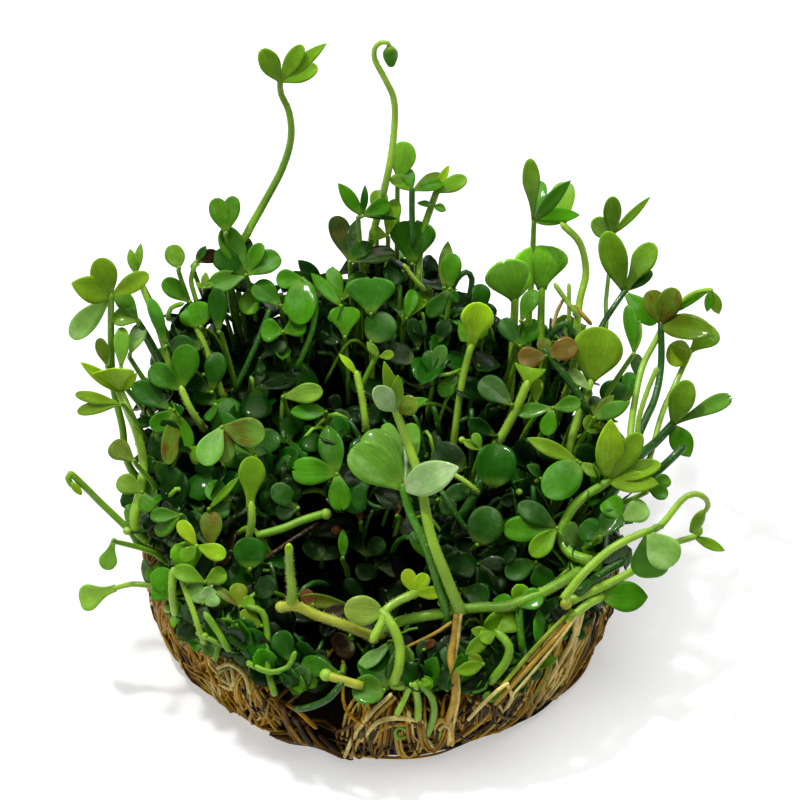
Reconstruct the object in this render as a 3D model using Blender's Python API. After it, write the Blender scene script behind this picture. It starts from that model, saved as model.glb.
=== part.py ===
# Dwarf water clover: a clump of small fern fronds on the round mat of roots that it grew in a cup.
# Lengths in this file are millimetres unless a name says otherwise. The clump rests on its flat
# underside at z = 0, with the front of the plant towards -Y.

import math
import random

import bmesh
import bpy
from mathutils import Matrix, Vector
from mathutils.bvhtree import BVHTree

MM = 0.001                 # metres in a millimetre
COLLECTION_NAME = "dwarf_water_clover"
GAP = 0.3                  # clearance between one piece and the next

# Root mat
MAT_RADIUS = 29.3          # inside radius of the cup that moulded it
MAT_HEIGHT = 11.0
MAT_SEGMENTS = 32
MAT_LUMP = 0.7             # depth of its lumps and hollows
MAT_FRONT_FLAT = 1.8       # how far the left front is pressed in
ROOT_RADIUS = 0.8          # the thickest roots on the wall
ROOT_BURIED = 0.25         # how deep their middle lines lie in it
CIRCLING_ROOTS = 5
HANGING_ROOTS = 5

# Tufts of crowded fronds
TUFT_COUNT = 8             # around the mat, with one more in the middle
TUFT_INNER = 11.0          # distance from the axis to the flat inner side of a tuft
TUFT_OUTER = 60.0          # beyond every leaf
MOUND_WAIST = 0.35         # a mound is widest at this share of its height
TUFT_BLADES = 9            # leaflets that stand out of each tuft
LEAFLET_LENGTH = 8.0
LEAFLET_WIDTH = 6.0

# Fronds
STALK_RADIUS = 0.5
FOOT_INWARD = 0.85         # a stalk's foot is nearer the axis than its first free point, by this share
FOOT_REACH = 26.0          # and no further out than this
BLADE_THICKNESS = 0.7
HUB_RADIUS = 0.6           # where a leaf's leaflets meet
FINE_STEP = 0.2            # spacing of the points at which a route is tested
TUBE_STEP = 3.2            # spacing of the points that a stalk is made from
FACING = Vector((0.0, -0.5, 0.86))   # the way most blades turn their upper side
RAY = Vector((0.31, 0.17, 0.93)).normalized()

# The height of each tuft's mound, and how far out from the axis it reaches
TUFTS = {
    "front": (15.0, 25.0),
    "front_right": (19.0, 27.0),
    "right": (22.0, 32.0),
    "back_right": (26.0, 31.0),
    "back": (33.0, 31.0),
    "back_left": (32.0, 31.0),
    "left": (29.0, 32.0),
    "front_left": (21.0, 29.0),
}
MIDDLE_TUFT = (26.0, 9.5)

# Stalks, each from its foot to its leaf
STALKS = {
    "tall_cross": [(-16, 23, 39), (-14, 25.5, 42), (-12, 27.5, 46), (-10.5, 29, 50), (-11, 30.5, 53), (-12, 32, 56.5)],
    "top_cross": [(19, 18, 26), (19, 22, 30.5), (19.5, 25, 34.5), (19.5, 27, 37)],
    "bent": [(24.5, 14, 30), (25, 16.5, 34), (25.5, 19, 36.5), (25, 20.5, 40), (23, 21.5, 42)],
    "right_fan": [(20.5, 15, 22), (20.5, 19, 27.5), (20.5, 21, 30.5)],
    "left_fan": [(16.5, 10, 19), (17, 15.5, 26.5), (17, 18, 32)],
    "lime_spoon": [(9.5, 3, 20), (10, 5, 26.5), (10.5, 7.5, 30), (11.5, 9.5, 34)],
    "right_crown": [(26, 12, 20), (27.5, 17, 26), (31, 21.5, 30)],
    "right_sprig": [(28.5, 18, 32.5), (29, 22, 35), (29, 24, 38)],
    "right_gloss": [(32.5, 4, 20), (34.5, 9, 24), (35, 13, 25.5), (35.5, 17, 28.5)],
    "right_arch": [(35, 13, 29.5), (36, 16, 31.5), (38, 18, 32.5), (40, 18.5, 33.5), (41, 18, 33.5)],
    "right_tooth": [(32, 0, 21), (34, 3, 22.5), (36.5, 6, 22.5)],
    "big_spoon": [(23.5, 1, 20), (24, 2.5, 24), (25, 5, 26), (26.5, 8, 28.5)],
    "lime_cross": [(26, -14, 19), (23.5, -12.5, 20), (22.5, -10, 21), (24, -7, 23), (28, -4, 24)],
    "low_fork": [(23.5, -18, 17), (27.5, -15, 17), (31.5, -12.5, 17), (36, -9, 17.5), (39, -8, 18)],
    "low_wide": [(22, -20, 15), (25, -18, 16), (27.5, -16, 16.5)],
    "left_cross": [(-31.5, 5, 22), (-32.5, 8, 28), (-32.5, 11, 33), (-32.5, 13, 38.5)],
    "left_flare": [(-29, -3, 18), (-29, 0, 22), (-29.5, 3, 24.5), (-31, 5, 27), (-32, 7, 28.5)],
    "far_left_spoon": [(-27, -13, 14), (-30, -13, 15), (-32.5, -13, 14)],
    "front_tall": [(10, -22, 20.5), (8.5, -19.5, 24.5), (6.5, -16, 29), (5, -11, 32.5), (3.5, -8, 35.5), (2.5, -5, 38)],
    "pale_cross": [(6.5, -18.5, 22), (5.5, -16.5, 27), (4, -14, 29.5), (3, -12, 32)],
}
# Leaves, each a list of leaflets as the way from the stalk's top to the leaflet's tip, and its width
LEAVES = {
    "tall_cross": [((-2, 1, 4.5), 2.5), ((3, 1.5, 5), 2), ((5.5, 2, 4.5), 1.5), ((4.5, 0, 2.5), 2)],
    "top_cross": [((-0.5, 3, 8), 2), ((4.5, 1, 6), 2.5), ((5.5, -1, 2.5), 2)],
    "bent": [((-0.5, 1.5, 5), 3)],
    "right_fan": [((0, 3, 5.5), 7)],
    "left_fan": [((-3.5, 1, 6), 3), ((-0.5, 2, 5.5), 3)],
    "lime_spoon": [((1, 2.5, 5), 4)],
    "right_crown": [((-2.5, 3.5, 7.5), 3), ((3.5, 3.5, 6), 3), ((3, -1.5, 3), 2)],
    "right_sprig": [((-2.5, 1, 2), 2.5), ((0.5, 3, 3.5), 2), ((4.5, 3, 3), 1)],
    "right_gloss": [((1.5, 2, 4.5), 2), ((6, -3, 1.5), 3.5), ((-2.5, 0, 2), 2)],
    "right_arch": [((-0.5, -2, -2), 1.2), ((1.5, -1, -3), 1.2)],
    "right_tooth": [((2, 2, 6), 3), ((7, 1, 4), 2.5), ((2, -3, -2.5), 3)],
    "big_spoon": [((2, 4, 5.5), 6)],
    "lime_cross": [((0, 3, 8), 3), ((4, 2, 6.5), 3), ((6, 0, 3.5), 2.5), ((6, -2, 2), 2.5)],
    "low_fork": [((1, 1, 0.5), 1), ((3.5, -1, -1.5), 1.2)],
    "low_wide": [((5.5, 1, -1.5), 3.5)],
    "left_cross": [((-4.5, -1, 3.5), 3), ((-1, 2, 5), 3), ((4.5, 1, 2.5), 2), ((-5, -3, -4), 3)],
    "left_flare": [((-4.5, 0, 4.5), 3), ((2, 1, 2), 3)],
    "far_left_spoon": [((-4, 0, -2.5), 3)],
    "front_tall": [((-1.5, 2, 6.5), 1.5), ((-3, -1, 4), 2.5), ((2.5, 0, 1.5), 2)],
    "pale_cross": [((-6, 1, 5.5), 5), ((-2.5, 3, 9.5), 4), ((1, 3, 8), 3), ((6.5, 0, 4), 3.5)],
    "low_round": [((1, -1.5, -7), 5.5)],
}
LOW_ROUND_HUB = (33.5, -13.5, 22.5)

# Coiled young fronds and creeping stems, each from its foot to its tip, with its radius there and at the tip
SHOOTS = {
    "tall_fiddlehead": ([(0.5, 23, 41), (1.5, 26, 46.5), (2, 29, 51), (2, 31, 54.5), (1, 32, 57), (-0.5, 33, 59),
                         (-0.3, 33.5, 61), (0.8, 33.5, 62), (2, 33.3, 61.2), (1.8, 33, 60)], 0.55, 0.3),
    "low_fiddlehead": ([(22.5, -19.5, 20.5), (25, -17, 22.5), (28, -14, 23), (32, -12, 23.5), (34.5, -11, 24.5),
                        (37, -9, 26), (38.8, -8, 26), (40, -8, 24.8), (39.5, -8, 23)], 0.55, 0.35),
    "left_hook": ([(-29, -7, 14), (-31, -6, 17), (-34, -4, 20), (-37.2, -3, 23.6), (-38.2, -3, 22.8),
                   (-37.2, -3.8, 21)], 0.5, 0.3),
    "front_runner": ([(-11.5, -20, 19), (-7.5, -20.5, 18.5), (-4, -21, 17), (-0.5, -21.5, 15.5), (3, -20.5, 17),
                      (9.5, -22, 18.5), (16, -22, 18), (20, -20.5, 18)], 0.65, 0.55),
    "upright_shoot": ([(-10.5, -20, 20.6), (-10.5, -19.5, 25), (-10.5, -19, 30)], 0.6, 0.4),
}
ROOTED_SHOOTS = ("tall_fiddlehead", "low_fiddlehead", "left_hook")
COIL_BULB = {"tall_fiddlehead": 1.1, "low_fiddlehead": 1.0}

COLOURS = {
    "root": ((0.30, 0.17, 0.06), 0.75),
    "tuft": ((0.05, 0.17, 0.02), 0.4),
    "leaf": ((0.12, 0.33, 0.03), 0.3),
    "stalk": ((0.23, 0.42, 0.06), 0.45),
    "runner": ((0.38, 0.42, 0.09), 0.6),
}


def start_scene():
    """Clears the scene and returns the collection for the plant's pieces."""
    for old in list(bpy.data.objects):
        bpy.data.objects.remove(old, do_unlink=True)
    collection = bpy.data.collections.new(COLLECTION_NAME)
    bpy.context.scene.collection.children.link(collection)
    return collection


def make_material(name, finish):
    colour, roughness = COLOURS[finish]
    material = bpy.data.materials.new(name + "_finish")
    material.use_nodes = True
    shader = material.node_tree.nodes["Principled BSDF"]
    shader.inputs["Base Color"].default_value = (*colour, 1.0)
    shader.inputs["Roughness"].default_value = roughness
    shader.inputs["Metallic"].default_value = 0.0
    return material


def add_piece(collection, name, mesh, finish):
    """Turns a finished mesh in millimetres into one named piece in metres."""
    mesh.transform(Matrix.Scale(MM, 4))
    mesh.materials.clear()
    mesh.materials.append(make_material(name, finish))
    mesh.shade_smooth()
    mesh.set_sharp_from_angle(angle=math.radians(50))
    piece = bpy.data.objects.new(name, mesh)
    collection.objects.link(piece)
    return piece


def loose_object(mesh):
    """An object that only serves to be joined with another."""
    helper = bpy.data.objects.new("helper", mesh)
    bpy.context.scene.collection.objects.link(helper)
    return helper


def mesh_from(bm):
    """The finished shape in flat triangles, which join without slivers."""
    bmesh.ops.triangulate(bm, faces=bm.faces)
    mesh = bpy.data.meshes.new("shape")
    bm.to_mesh(mesh)
    bm.free()
    return mesh


def combine(meshes, limit=None):
    """The union of closed meshes, cut to the inside of a limiting mesh if there is one."""
    helpers = [loose_object(mesh) for mesh in meshes]
    body = helpers[0]
    for helper in helpers[1:]:
        join = body.modifiers.new("join", "BOOLEAN")
        join.operation = "UNION"
        join.object = helper
    if limit is not None:
        helpers.append(loose_object(limit))
        trim = body.modifiers.new("trim", "BOOLEAN")
        trim.operation = "INTERSECT"
        trim.object = helpers[-1]
    evaluated = body.evaluated_get(bpy.context.evaluated_depsgraph_get())
    result = bpy.data.meshes.new_from_object(evaluated)
    for helper in helpers:
        bpy.data.objects.remove(helper, do_unlink=True)
    return result


def smooth_route(points, step):
    """Points about a step apart on a smooth curve through the given ones."""
    ends = [Vector(p) for p in points]
    ends = [2 * ends[0] - ends[1], *ends, 2 * ends[-1] - ends[-2]]
    route = []
    for before, start, end, after in zip(ends, ends[1:], ends[2:], ends[3:]):
        count = max(1, round((end - start).length / step))
        for i in range(count):
            t = i / count
            route.append(0.5 * (2 * start + (end - before) * t
                                + (2 * before - 5 * start + 4 * end - after) * t * t
                                + (3 * start - before - 3 * end + after) * t ** 3))
    route.append(ends[-2])
    return route


def tube(route, foot_radius, tip_radius):
    """A closed tube along a route, narrowing evenly from its foot to its tip."""
    curve = bpy.data.curves.new("tube", "CURVE")
    curve.dimensions = "3D"
    curve.bevel_depth = 1.0
    curve.bevel_resolution = 1
    curve.use_fill_caps = True
    spline = curve.splines.new("POLY")
    spline.points.add(len(route) - 1)
    for i, place in enumerate(route):
        along = i / (len(route) - 1)
        spline.points[i].co = (*place, 1.0)
        spline.points[i].radius = foot_radius + (tip_radius - foot_radius) * along
    helper = bpy.data.objects.new("tube", curve)
    bpy.context.scene.collection.objects.link(helper)
    evaluated = helper.evaluated_get(bpy.context.evaluated_depsgraph_get())
    mesh = bpy.data.meshes.new_from_object(evaluated)
    bpy.data.objects.remove(helper, do_unlink=True)
    bm = bmesh.new()
    bm.from_mesh(mesh)
    bmesh.ops.remove_doubles(bm, verts=bm.verts, dist=0.01)
    bmesh.ops.recalc_face_normals(bm, faces=bm.faces)
    return mesh_from(bm)


def ball(centre, radius, subdivisions=1):
    bm = bmesh.new()
    bmesh.ops.create_icosphere(bm, subdivisions=subdivisions, radius=radius,
                               matrix=Matrix.Translation(Vector(centre)))
    return mesh_from(bm)


def blade(base, tip, width, facing=FACING):
    """One spoon-shaped leaflet, widest past its middle and cupped along its length."""
    along = Vector(tip) - Vector(base)
    length = along.length
    along.normalize()
    side = along.cross(facing).normalized()
    up = side.cross(along)
    bm = bmesh.new()
    bmesh.ops.create_uvsphere(bm, u_segments=4, v_segments=4, radius=1.0)
    for vertex in bm.verts:
        across, thick, way = vertex.co
        spread = across * (0.85 + 0.35 * way) * width / 2
        cup = 0.12 * width * (spread / (width / 2)) ** 2
        vertex.co = (Vector(base) + along * length * (way + 1) / 2 + side * spread
                     + up * (thick * BLADE_THICKNESS / 2 + cup))
    bmesh.ops.recalc_face_normals(bm, faces=bm.faces)
    return mesh_from(bm)


def leaf(hub, leaflets):
    """A leaf: its leaflets joined where they meet."""
    hub = Vector(hub)
    shapes = [ball(hub, HUB_RADIUS)]
    shapes += [blade(hub, hub + Vector(way), width) for way, width in leaflets]
    return combine(shapes)


def mat_wall(angle, height):
    """The root mat's radius at an angle round it and a height up it."""
    edge = min(1.0, height / 2.5)
    shoulder = min(1.0, (MAT_HEIGHT - height) / 2.5)
    radius = MAT_RADIUS - 1.4 * (1 - edge) ** 2 - 1.2 * (1 - shoulder) ** 2
    radius += MAT_LUMP * (0.5 * math.sin(3 * angle + 0.6) + 0.4 * math.sin(7 * angle + 0.35 * height))
    left_front = math.radians(228)
    away = abs((angle - left_front + math.pi) % (2 * math.pi) - math.pi)
    return radius - MAT_FRONT_FLAT * max(0.0, 1 - away / math.radians(50))


def root_mat():
    """The felt of roots: a low lumpy drum with the thickest roots lying on its wall."""
    bm = bmesh.new()
    bmesh.ops.create_cone(bm, cap_ends=True, segments=MAT_SEGMENTS, radius1=MAT_RADIUS, radius2=MAT_RADIUS,
                          depth=MAT_HEIGHT, matrix=Matrix.Translation((0, 0, MAT_HEIGHT / 2)))
    for height in (1.2, 3.0, 8.0, 9.8):
        bmesh.ops.bisect_plane(bm, geom=bm.verts[:] + bm.edges[:] + bm.faces[:],
                               plane_co=(0, 0, height), plane_no=(0, 0, 1))
    for vertex in bm.verts:
        angle = math.atan2(vertex.co.y, vertex.co.x) % (2 * math.pi)
        radius = mat_wall(angle, vertex.co.z)
        vertex.co.x = radius * math.cos(angle)
        vertex.co.y = radius * math.sin(angle)
    draw = random.Random(11)
    shapes = [mesh_from(bm)]
    for i in range(CIRCLING_ROOTS):
        start = 2 * math.pi * i / CIRCLING_ROOTS + draw.uniform(-0.2, 0.2)
        sweep = draw.uniform(0.8, 1.3)
        level = draw.uniform(2.0, 7.5)
        route = []
        for j in range(8):
            t = j / 7
            angle = (start + sweep * t) % (2 * math.pi)
            height = level + 1.2 * math.sin(2 * math.pi * t + i)
            inside = ROOT_BURIED if 0 < j < 7 else 2.0
            radius = mat_wall(angle, height) - inside
            route.append((radius * math.cos(angle), radius * math.sin(angle), height))
        shapes.append(tube(route, ROOT_RADIUS, 0.7 * ROOT_RADIUS))
    for i in range(HANGING_ROOTS):
        angle = math.radians(-125 + 75 * i / (HANGING_ROOTS - 1))
        lean = draw.uniform(-0.12, 0.12)
        route = []
        for j in range(4):
            t = j / 3
            height = MAT_HEIGHT - 1.0 - (MAT_HEIGHT - 2.6) * t
            inside = ROOT_BURIED if 0 < j < 3 else 2.0
            turned = (angle + lean * t) % (2 * math.pi)
            radius = mat_wall(turned, height) - inside
            route.append((radius * math.cos(turned), radius * math.sin(turned), height))
        shapes.append(tube(route, 0.8 * ROOT_RADIUS, 0.6 * ROOT_RADIUS))
    return combine(shapes)


def tuft_bounds(index):
    """The closed space that a tuft keeps to: a wedge of the ring, or the middle prism."""
    bottom = MAT_HEIGHT + GAP
    top = bottom + 60
    half_turn = math.pi / TUFT_COUNT
    bm = bmesh.new()
    if index is None:
        corner = (TUFT_INNER - GAP / 2) / math.cos(half_turn)
        turn = Matrix.Rotation(half_turn, 4, "Z")
        bmesh.ops.create_cone(bm, cap_ends=True, segments=TUFT_COUNT, radius1=corner, radius2=corner,
                              depth=top - bottom, matrix=Matrix.Translation((0, 0, (top + bottom) / 2)) @ turn)
        return mesh_from(bm)
    bmesh.ops.create_cube(bm, size=1.0)
    for vertex in bm.verts:
        out = TUFT_OUTER if vertex.co.x > 0 else TUFT_INNER + GAP / 2
        half = out * math.tan(half_turn) - GAP / 2 / math.cos(half_turn)
        vertex.co = (out, math.copysign(half, vertex.co.y), top if vertex.co.z > 0 else bottom)
    bm.transform(Matrix.Rotation(tuft_angle(index), 4, "Z"))
    return mesh_from(bm)


def tuft_angle(index):
    return -math.pi / 2 + 2 * math.pi * index / TUFT_COUNT


def tuft(index, size, fronds):
    """A mound of crowded stalks, with the blades of its outer and highest leaves standing out of it."""
    mound_top, reach = size
    draw = random.Random(40 if index is None else 60 + index)
    turn = Matrix.Rotation(0.0 if index is None else tuft_angle(index), 3, "Z")
    inner = -reach if index is None else TUFT_INNER - 1
    middle = (inner + reach) / 2
    wide = reach if index is None else middle * math.tan(math.pi / TUFT_COUNT) * 1.15
    level = MAT_HEIGHT + MOUND_WAIST * (mound_top - MAT_HEIGHT)
    axes = Vector((reach - middle, wide, mound_top - level))
    bm = bmesh.new()
    bmesh.ops.create_uvsphere(bm, u_segments=8, v_segments=6, radius=1.0)
    for vertex in bm.verts:
        grown = vertex.co * axes * draw.uniform(0.92, 1.08)
        vertex.co = turn @ (Vector((middle, 0, level)) + grown)
    shapes = [mesh_from(bm)]
    bases = []
    while len(bases) < TUFT_BLADES:
        aim = Vector((draw.uniform(-0.8, 1), draw.uniform(-1, 1), draw.uniform(0.1, 1.2))).normalized()
        base = turn @ (Vector((middle, 0, level)) + aim * axes * 0.85)
        lean = (turn @ (aim * Vector((1, 0.6, 1))) + Vector((0, 0, 0.7))).normalized()
        tip = base + lean * LEAFLET_LENGTH * draw.uniform(0.9, 1.2)
        near = [(tip + base) / 2, tip]
        if any(clearance(point, fronds) < LEAFLET_WIDTH / 2 + GAP for point in near):
            continue
        if any((base - other).length < 4 for other in bases):
            continue
        bases.append(base)
        shapes.append(blade(base, tip, LEAFLET_WIDTH * draw.uniform(0.8, 1.0)))
    return combine(shapes, tuft_bounds(index))


def tree(mesh):
    bm = bmesh.new()
    bm.from_mesh(mesh)
    result = BVHTree.FromBMesh(bm)
    bm.free()
    return result


def is_inside(point, solid):
    """Whether a ray from the point crosses the solid's surface an odd number of times."""
    crossings = 0
    place = solid.ray_cast(point, RAY)[0]
    while place is not None:
        crossings += 1
        place = solid.ray_cast(place + RAY * 0.001, RAY)[0]
    return crossings % 2 == 1


def clearance(point, trees):
    """The distance from a point to the nearest of several closed solids, negative inside one."""
    nearest = 1000.0
    for solid in trees:
        distance = solid.find_nearest(point)[3]
        nearest = min(nearest, -distance if is_inside(point, solid) else distance)
    return nearest


def rooted(points):
    """A stalk's points with its foot on the root mat put before them."""
    first = Vector(points[0])
    inward = min(FOOT_INWARD, FOOT_REACH / first.xy.length)
    return [(first.x * inward, first.y * inward, MAT_HEIGHT + 1), *points]


def clear_run(route, radius, trees):
    """The longest stretch of a route that a tube can take without coming near another piece."""
    best, run = [], []
    for point in route:
        if clearance(point, trees) > radius + GAP:
            run.append(point)
            if len(run) > len(best):
                best = list(run)
        else:
            run = []
    return best


def thinned(route, step):
    """Fewer points of a route, about a step apart, with both ends kept."""
    count = max(3, round((len(route) - 1) * FINE_STEP / step))
    return [route[round(i * (len(route) - 1) / count)] for i in range(count + 1)]


def build():
    collection = start_scene()
    mat = root_mat()
    leaf_meshes = {name: leaf(STALKS[name][-1] if name in STALKS else LOW_ROUND_HUB, leaflets)
                   for name, leaflets in LEAVES.items()}
    fronds = [tree(mesh) for mesh in leaf_meshes.values()]
    tufts = {name: tuft(i, size, fronds) for i, (name, size) in enumerate(TUFTS.items())}
    tufts["middle"] = tuft(None, MIDDLE_TUFT, fronds)
    solids = [tree(mat), *fronds, *(tree(mesh) for mesh in tufts.values())]
    add_piece(collection, "root_mat", mat, "root")
    for name, mesh in tufts.items():
        add_piece(collection, "tuft_" + name, mesh, "tuft")
    for name, mesh in leaf_meshes.items():
        add_piece(collection, name + "_leaf", mesh, "leaf")
    for name, (points, foot_radius, tip_radius) in SHOOTS.items():
        if name in ROOTED_SHOOTS:
            points = rooted(points)
        route = clear_run(smooth_route(points, FINE_STEP), foot_radius, solids)
        mesh = tube(thinned(route, TUBE_STEP * 0.6), foot_radius, tip_radius)
        if name in COIL_BULB:
            mesh = combine([mesh, ball(route[-1], COIL_BULB[name])])
        solids.append(tree(mesh))
        add_piece(collection, name, mesh, "runner" if name == "front_runner" else "stalk")
    for name, points in STALKS.items():
        route = clear_run(smooth_route(rooted(points), FINE_STEP), STALK_RADIUS, solids)
        mesh = tube(thinned(route, TUBE_STEP), STALK_RADIUS, 0.8 * STALK_RADIUS)
        solids.append(tree(mesh))
        add_piece(collection, name + "_stalk", mesh, "stalk")


build()
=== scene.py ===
import bmesh
import bpy
import math
import random
import numpy as np
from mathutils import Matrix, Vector


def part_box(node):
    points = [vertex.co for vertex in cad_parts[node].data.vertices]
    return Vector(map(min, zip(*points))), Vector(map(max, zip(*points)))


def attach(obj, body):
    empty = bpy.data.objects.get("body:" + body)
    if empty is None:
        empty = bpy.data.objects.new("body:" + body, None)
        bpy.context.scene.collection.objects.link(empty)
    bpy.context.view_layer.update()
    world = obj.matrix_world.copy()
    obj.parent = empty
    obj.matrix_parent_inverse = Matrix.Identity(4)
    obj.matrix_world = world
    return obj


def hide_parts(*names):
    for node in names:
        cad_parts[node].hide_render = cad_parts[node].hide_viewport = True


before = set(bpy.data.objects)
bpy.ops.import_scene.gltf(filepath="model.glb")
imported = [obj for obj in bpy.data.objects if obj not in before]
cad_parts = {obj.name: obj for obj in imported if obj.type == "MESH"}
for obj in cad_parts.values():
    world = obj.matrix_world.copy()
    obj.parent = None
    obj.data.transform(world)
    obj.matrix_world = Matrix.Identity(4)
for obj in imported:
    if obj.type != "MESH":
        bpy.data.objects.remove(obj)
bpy.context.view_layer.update()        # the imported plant: every node in its place, in metres
mm = 0.001

# The camera stands where the photographer's did. Places are in mm until a mesh is made.
photo = {
    "elevation": math.radians(50),
    "distance": 500,             # from the lens to the middle of the plant
    "middle": Vector((2.75, 11.0, 21.3)),
    "pixelsPerMm": 8.0,
    "width": 800,
    "sensor": 36.0,
}
viewUp = Vector((0, math.sin(photo["elevation"]), math.cos(photo["elevation"])))
viewAhead = Vector((0, math.cos(photo["elevation"]), -math.sin(photo["elevation"])))
lensPlace = photo["middle"] - viewAhead * photo["distance"]
focalPixels = photo["pixelsPerMm"] * photo["distance"]

# The mass of small leaves, as a slope that rises to the back with a dark hollow in front.
canopy = {
    "height": 26.0,
    "rise": 0.42,
    "hollow": Vector((-4.0, -19.5)),
    "hollowSize": Vector((7.0, 8.0)),
    "hollowDepth": 7.5,
    "radius": 28.0,
    "roundedFrom": 23.0,
    "rounding": 0.25,
    "rim": 30.2,
}
canopyNormal = Vector((0, -canopy["rise"], 1)).normalized()

# The root mat, close to the part's source; its loose roots spread a little wider at the foot.
rootMat = {
    "radius": 29.3,
    "height": 11.0,
    "lump": 0.45,
    "rounding": 2.5,             # how far from the foot and the shoulder the wall turns in
    "footInset": 0.8,
    "shoulderInset": 1.2,
    "leftFront": math.radians(228),
    "pressedIn": 0.7,
    "pressedAcross": math.radians(50),
    "notch": math.radians(256),  # the dark gap in the front wall
    "notchWidth": math.radians(5.5),
    "notchDepth": 2.2,
    "notchFrom": 4,
    "rightFront": math.radians(334),
    "spread": 0.9,
    "spreadAcross": math.radians(24),
}
faceUp = Vector((0, -0.5, 0.86))


def rayThrough(px, py):
    across = (px - photo["width"] / 2) / focalPixels
    upward = (photo["width"] / 2 - py) / focalPixels
    return Vector((across, 0, 0)) + viewUp * upward + viewAhead


def atDepth(px, py, depth):
    ray = rayThrough(px, py)
    return lensPlace + ray * ((depth - lensPlace.y) / ray.y)


def onPlane(px, py, point, normal):
    ray = rayThrough(px, py)
    return lensPlace + ray * ((point - lensPlace).dot(normal) / ray.dot(normal))


# What would stand out past the front of the mat is moved back to its rim.
def onCanopy(px, py, lift):
    point = onPlane(px, py, Vector((0, 0, canopy["height"] + lift)), canopyNormal)
    while point.y < -12 and point.xy.length > canopy["rim"] and point.z > 1:
        point = point + viewAhead * 0.3
    return point


def inMm(pixels):
    return pixels / photo["pixelsPerMm"]


def toPixel(point):
    away = point - lensPlace
    ahead = away.dot(viewAhead)
    px = photo["width"] / 2 + away.x / ahead * focalPixels
    py = photo["width"] / 2 - away.dot(viewUp) / ahead * focalPixels
    return px, py, ahead


def canopyHeight(x, y):
    off = Vector((x, y)) - canopy["hollow"]
    sunk = math.exp(-(off.x / canopy["hollowSize"].x) ** 2 - (off.y / canopy["hollowSize"].y) ** 2)
    rounded = max(0.0, math.hypot(x, y) - canopy["roundedFrom"]) * canopy["rounding"]
    return canopy["height"] + canopy["rise"] * y - canopy["hollowDepth"] * sunk - rounded


def anyAngle():
    return random.uniform(0, 2 * math.pi)


def turnIn(degrees):
    return math.radians(random.uniform(*degrees))


def around(angle, reach):
    return reach * math.cos(angle), reach * math.sin(angle)


def turnBetween(angle, other):
    return abs((angle - other + math.pi) % (2 * math.pi) - math.pi)


def evenShares(count):
    return [i / (count - 1) for i in range(count)]


# How far out the mat's wall is: waved, pressed in at the left, notched in front, wider at the right.
def wallRadius(angle, height):
    edge = min(1.0, max(0.0, height / rootMat["rounding"]))
    shoulder = min(1.0, max(0.0, (rootMat["height"] - height) / rootMat["rounding"]))
    radius = rootMat["radius"] - rootMat["footInset"] * (1 - edge) ** 2
    radius -= rootMat["shoulderInset"] * (1 - shoulder) ** 2
    wave = 0.5 * math.sin(3 * angle + 0.6) + 0.4 * math.sin(7 * angle + 0.35 * height)
    away = turnBetween(angle, rootMat["leftFront"])
    pressed = rootMat["pressedIn"] * max(0.0, 1 - away / rootMat["pressedAcross"])
    gap = turnBetween(angle, rootMat["notch"]) / rootMat["notchWidth"]
    notched = rootMat["notchDepth"] * math.exp(-gap ** 2) * min(1.0, height / rootMat["notchFrom"])
    beside = turnBetween(angle, rootMat["rightFront"]) / rootMat["spreadAcross"]
    spread = rootMat["spread"] * math.exp(-beside ** 2)
    return radius + rootMat["lump"] * wave - pressed - notched + spread


def onWall(px, py):
    point = atDepth(px, py, -rootMat["radius"])
    for _ in range(4):
        radius = wallRadius(math.atan2(point.y, point.x), point.z) + 0.45
        point = atDepth(px, py, -math.sqrt(max(1.0, radius ** 2 - point.x ** 2)))
    return point


# Colours are given as on a screen, from 0 to 255.
def tone(red, green, blue):
    return tuple(((c / 255 + 0.055) / 1.055) ** 2.4 for c in (red, green, blue))


leafTones = {
    "lime": tone(144, 186, 26),
    "fresh": tone(106, 152, 26),
    "olive": tone(112, 152, 26),
    "moss": tone(84, 132, 36),
    "gloss": tone(80, 112, 8),
    "spring": tone(128, 172, 58),
    "cap": tone(98, 132, 44),
    "mid": tone(66, 130, 10),
    "deep": tone(28, 84, 3),
    "dark": tone(10, 50, 1),
    # These two are lighter greens that, through their negative blush, also carry painted pale sheen patches.
    "silver": tone(112, 162, 58),
    "pale": tone(132, 174, 98),
    "plain": tone(50, 108, 8),
    # A green lightened as painted light, to make up for the light the fans lack here.
    "bright": tone(122, 194, 44),
    "plum": tone(106, 88, 34),
    "red": tone(96, 122, 28),
    "rust": tone(32, 64, 8),
    "brown": tone(44, 24, 6),
    "ember": tone(96, 44, 12),
}
stalkTones = {
    "lime": tone(136, 178, 46),
    "fresh": tone(104, 152, 26),
    "mid": tone(64, 124, 14),
    "dark": tone(34, 82, 12),
    "runner": tone(164, 172, 52),
    "brown": tone(62, 40, 20),
    "hair": tone(204, 214, 128),
}
rootTones = {
    "gold": tone(164, 120, 14),
    "tan": tone(188, 154, 64),
    "cream": tone(214, 196, 120),
    "brown": tone(96, 64, 6),
    "dark": tone(42, 28, 2),
    "grey": tone(100, 82, 40),
    "green": tone(140, 160, 50),
    "soil": tone(34, 24, 4),
    # Painted shade: the near black on the felt's top and in the gap.
    "night": tone(3, 5, 1),
}


def newMaterial(name):
    material = bpy.data.materials.new(name)
    material.use_nodes = True
    material.node_tree.nodes.clear()
    return material, material.node_tree


# The parts that every material of the plant starts from: its place on the piece and the piece's tint.
def plantMaterial(name):
    material, tree = newMaterial(name)
    place = addNode(tree, "ShaderNodeTexCoord").outputs["Object"]
    tint = addNode(tree, "ShaderNodeAttribute", attribute_name="tint")
    return material, tree, place, tint


def addNode(tree, kind, inputs=None, **settings):
    node = tree.nodes.new(kind)
    for key, value in settings.items():
        setattr(node, key, value)
    for key, value in (inputs or {}).items():
        if isinstance(value, bpy.types.NodeSocket):
            tree.links.new(value, node.inputs[key])
        else:
            node.inputs[key].default_value = value
    return node


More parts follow.
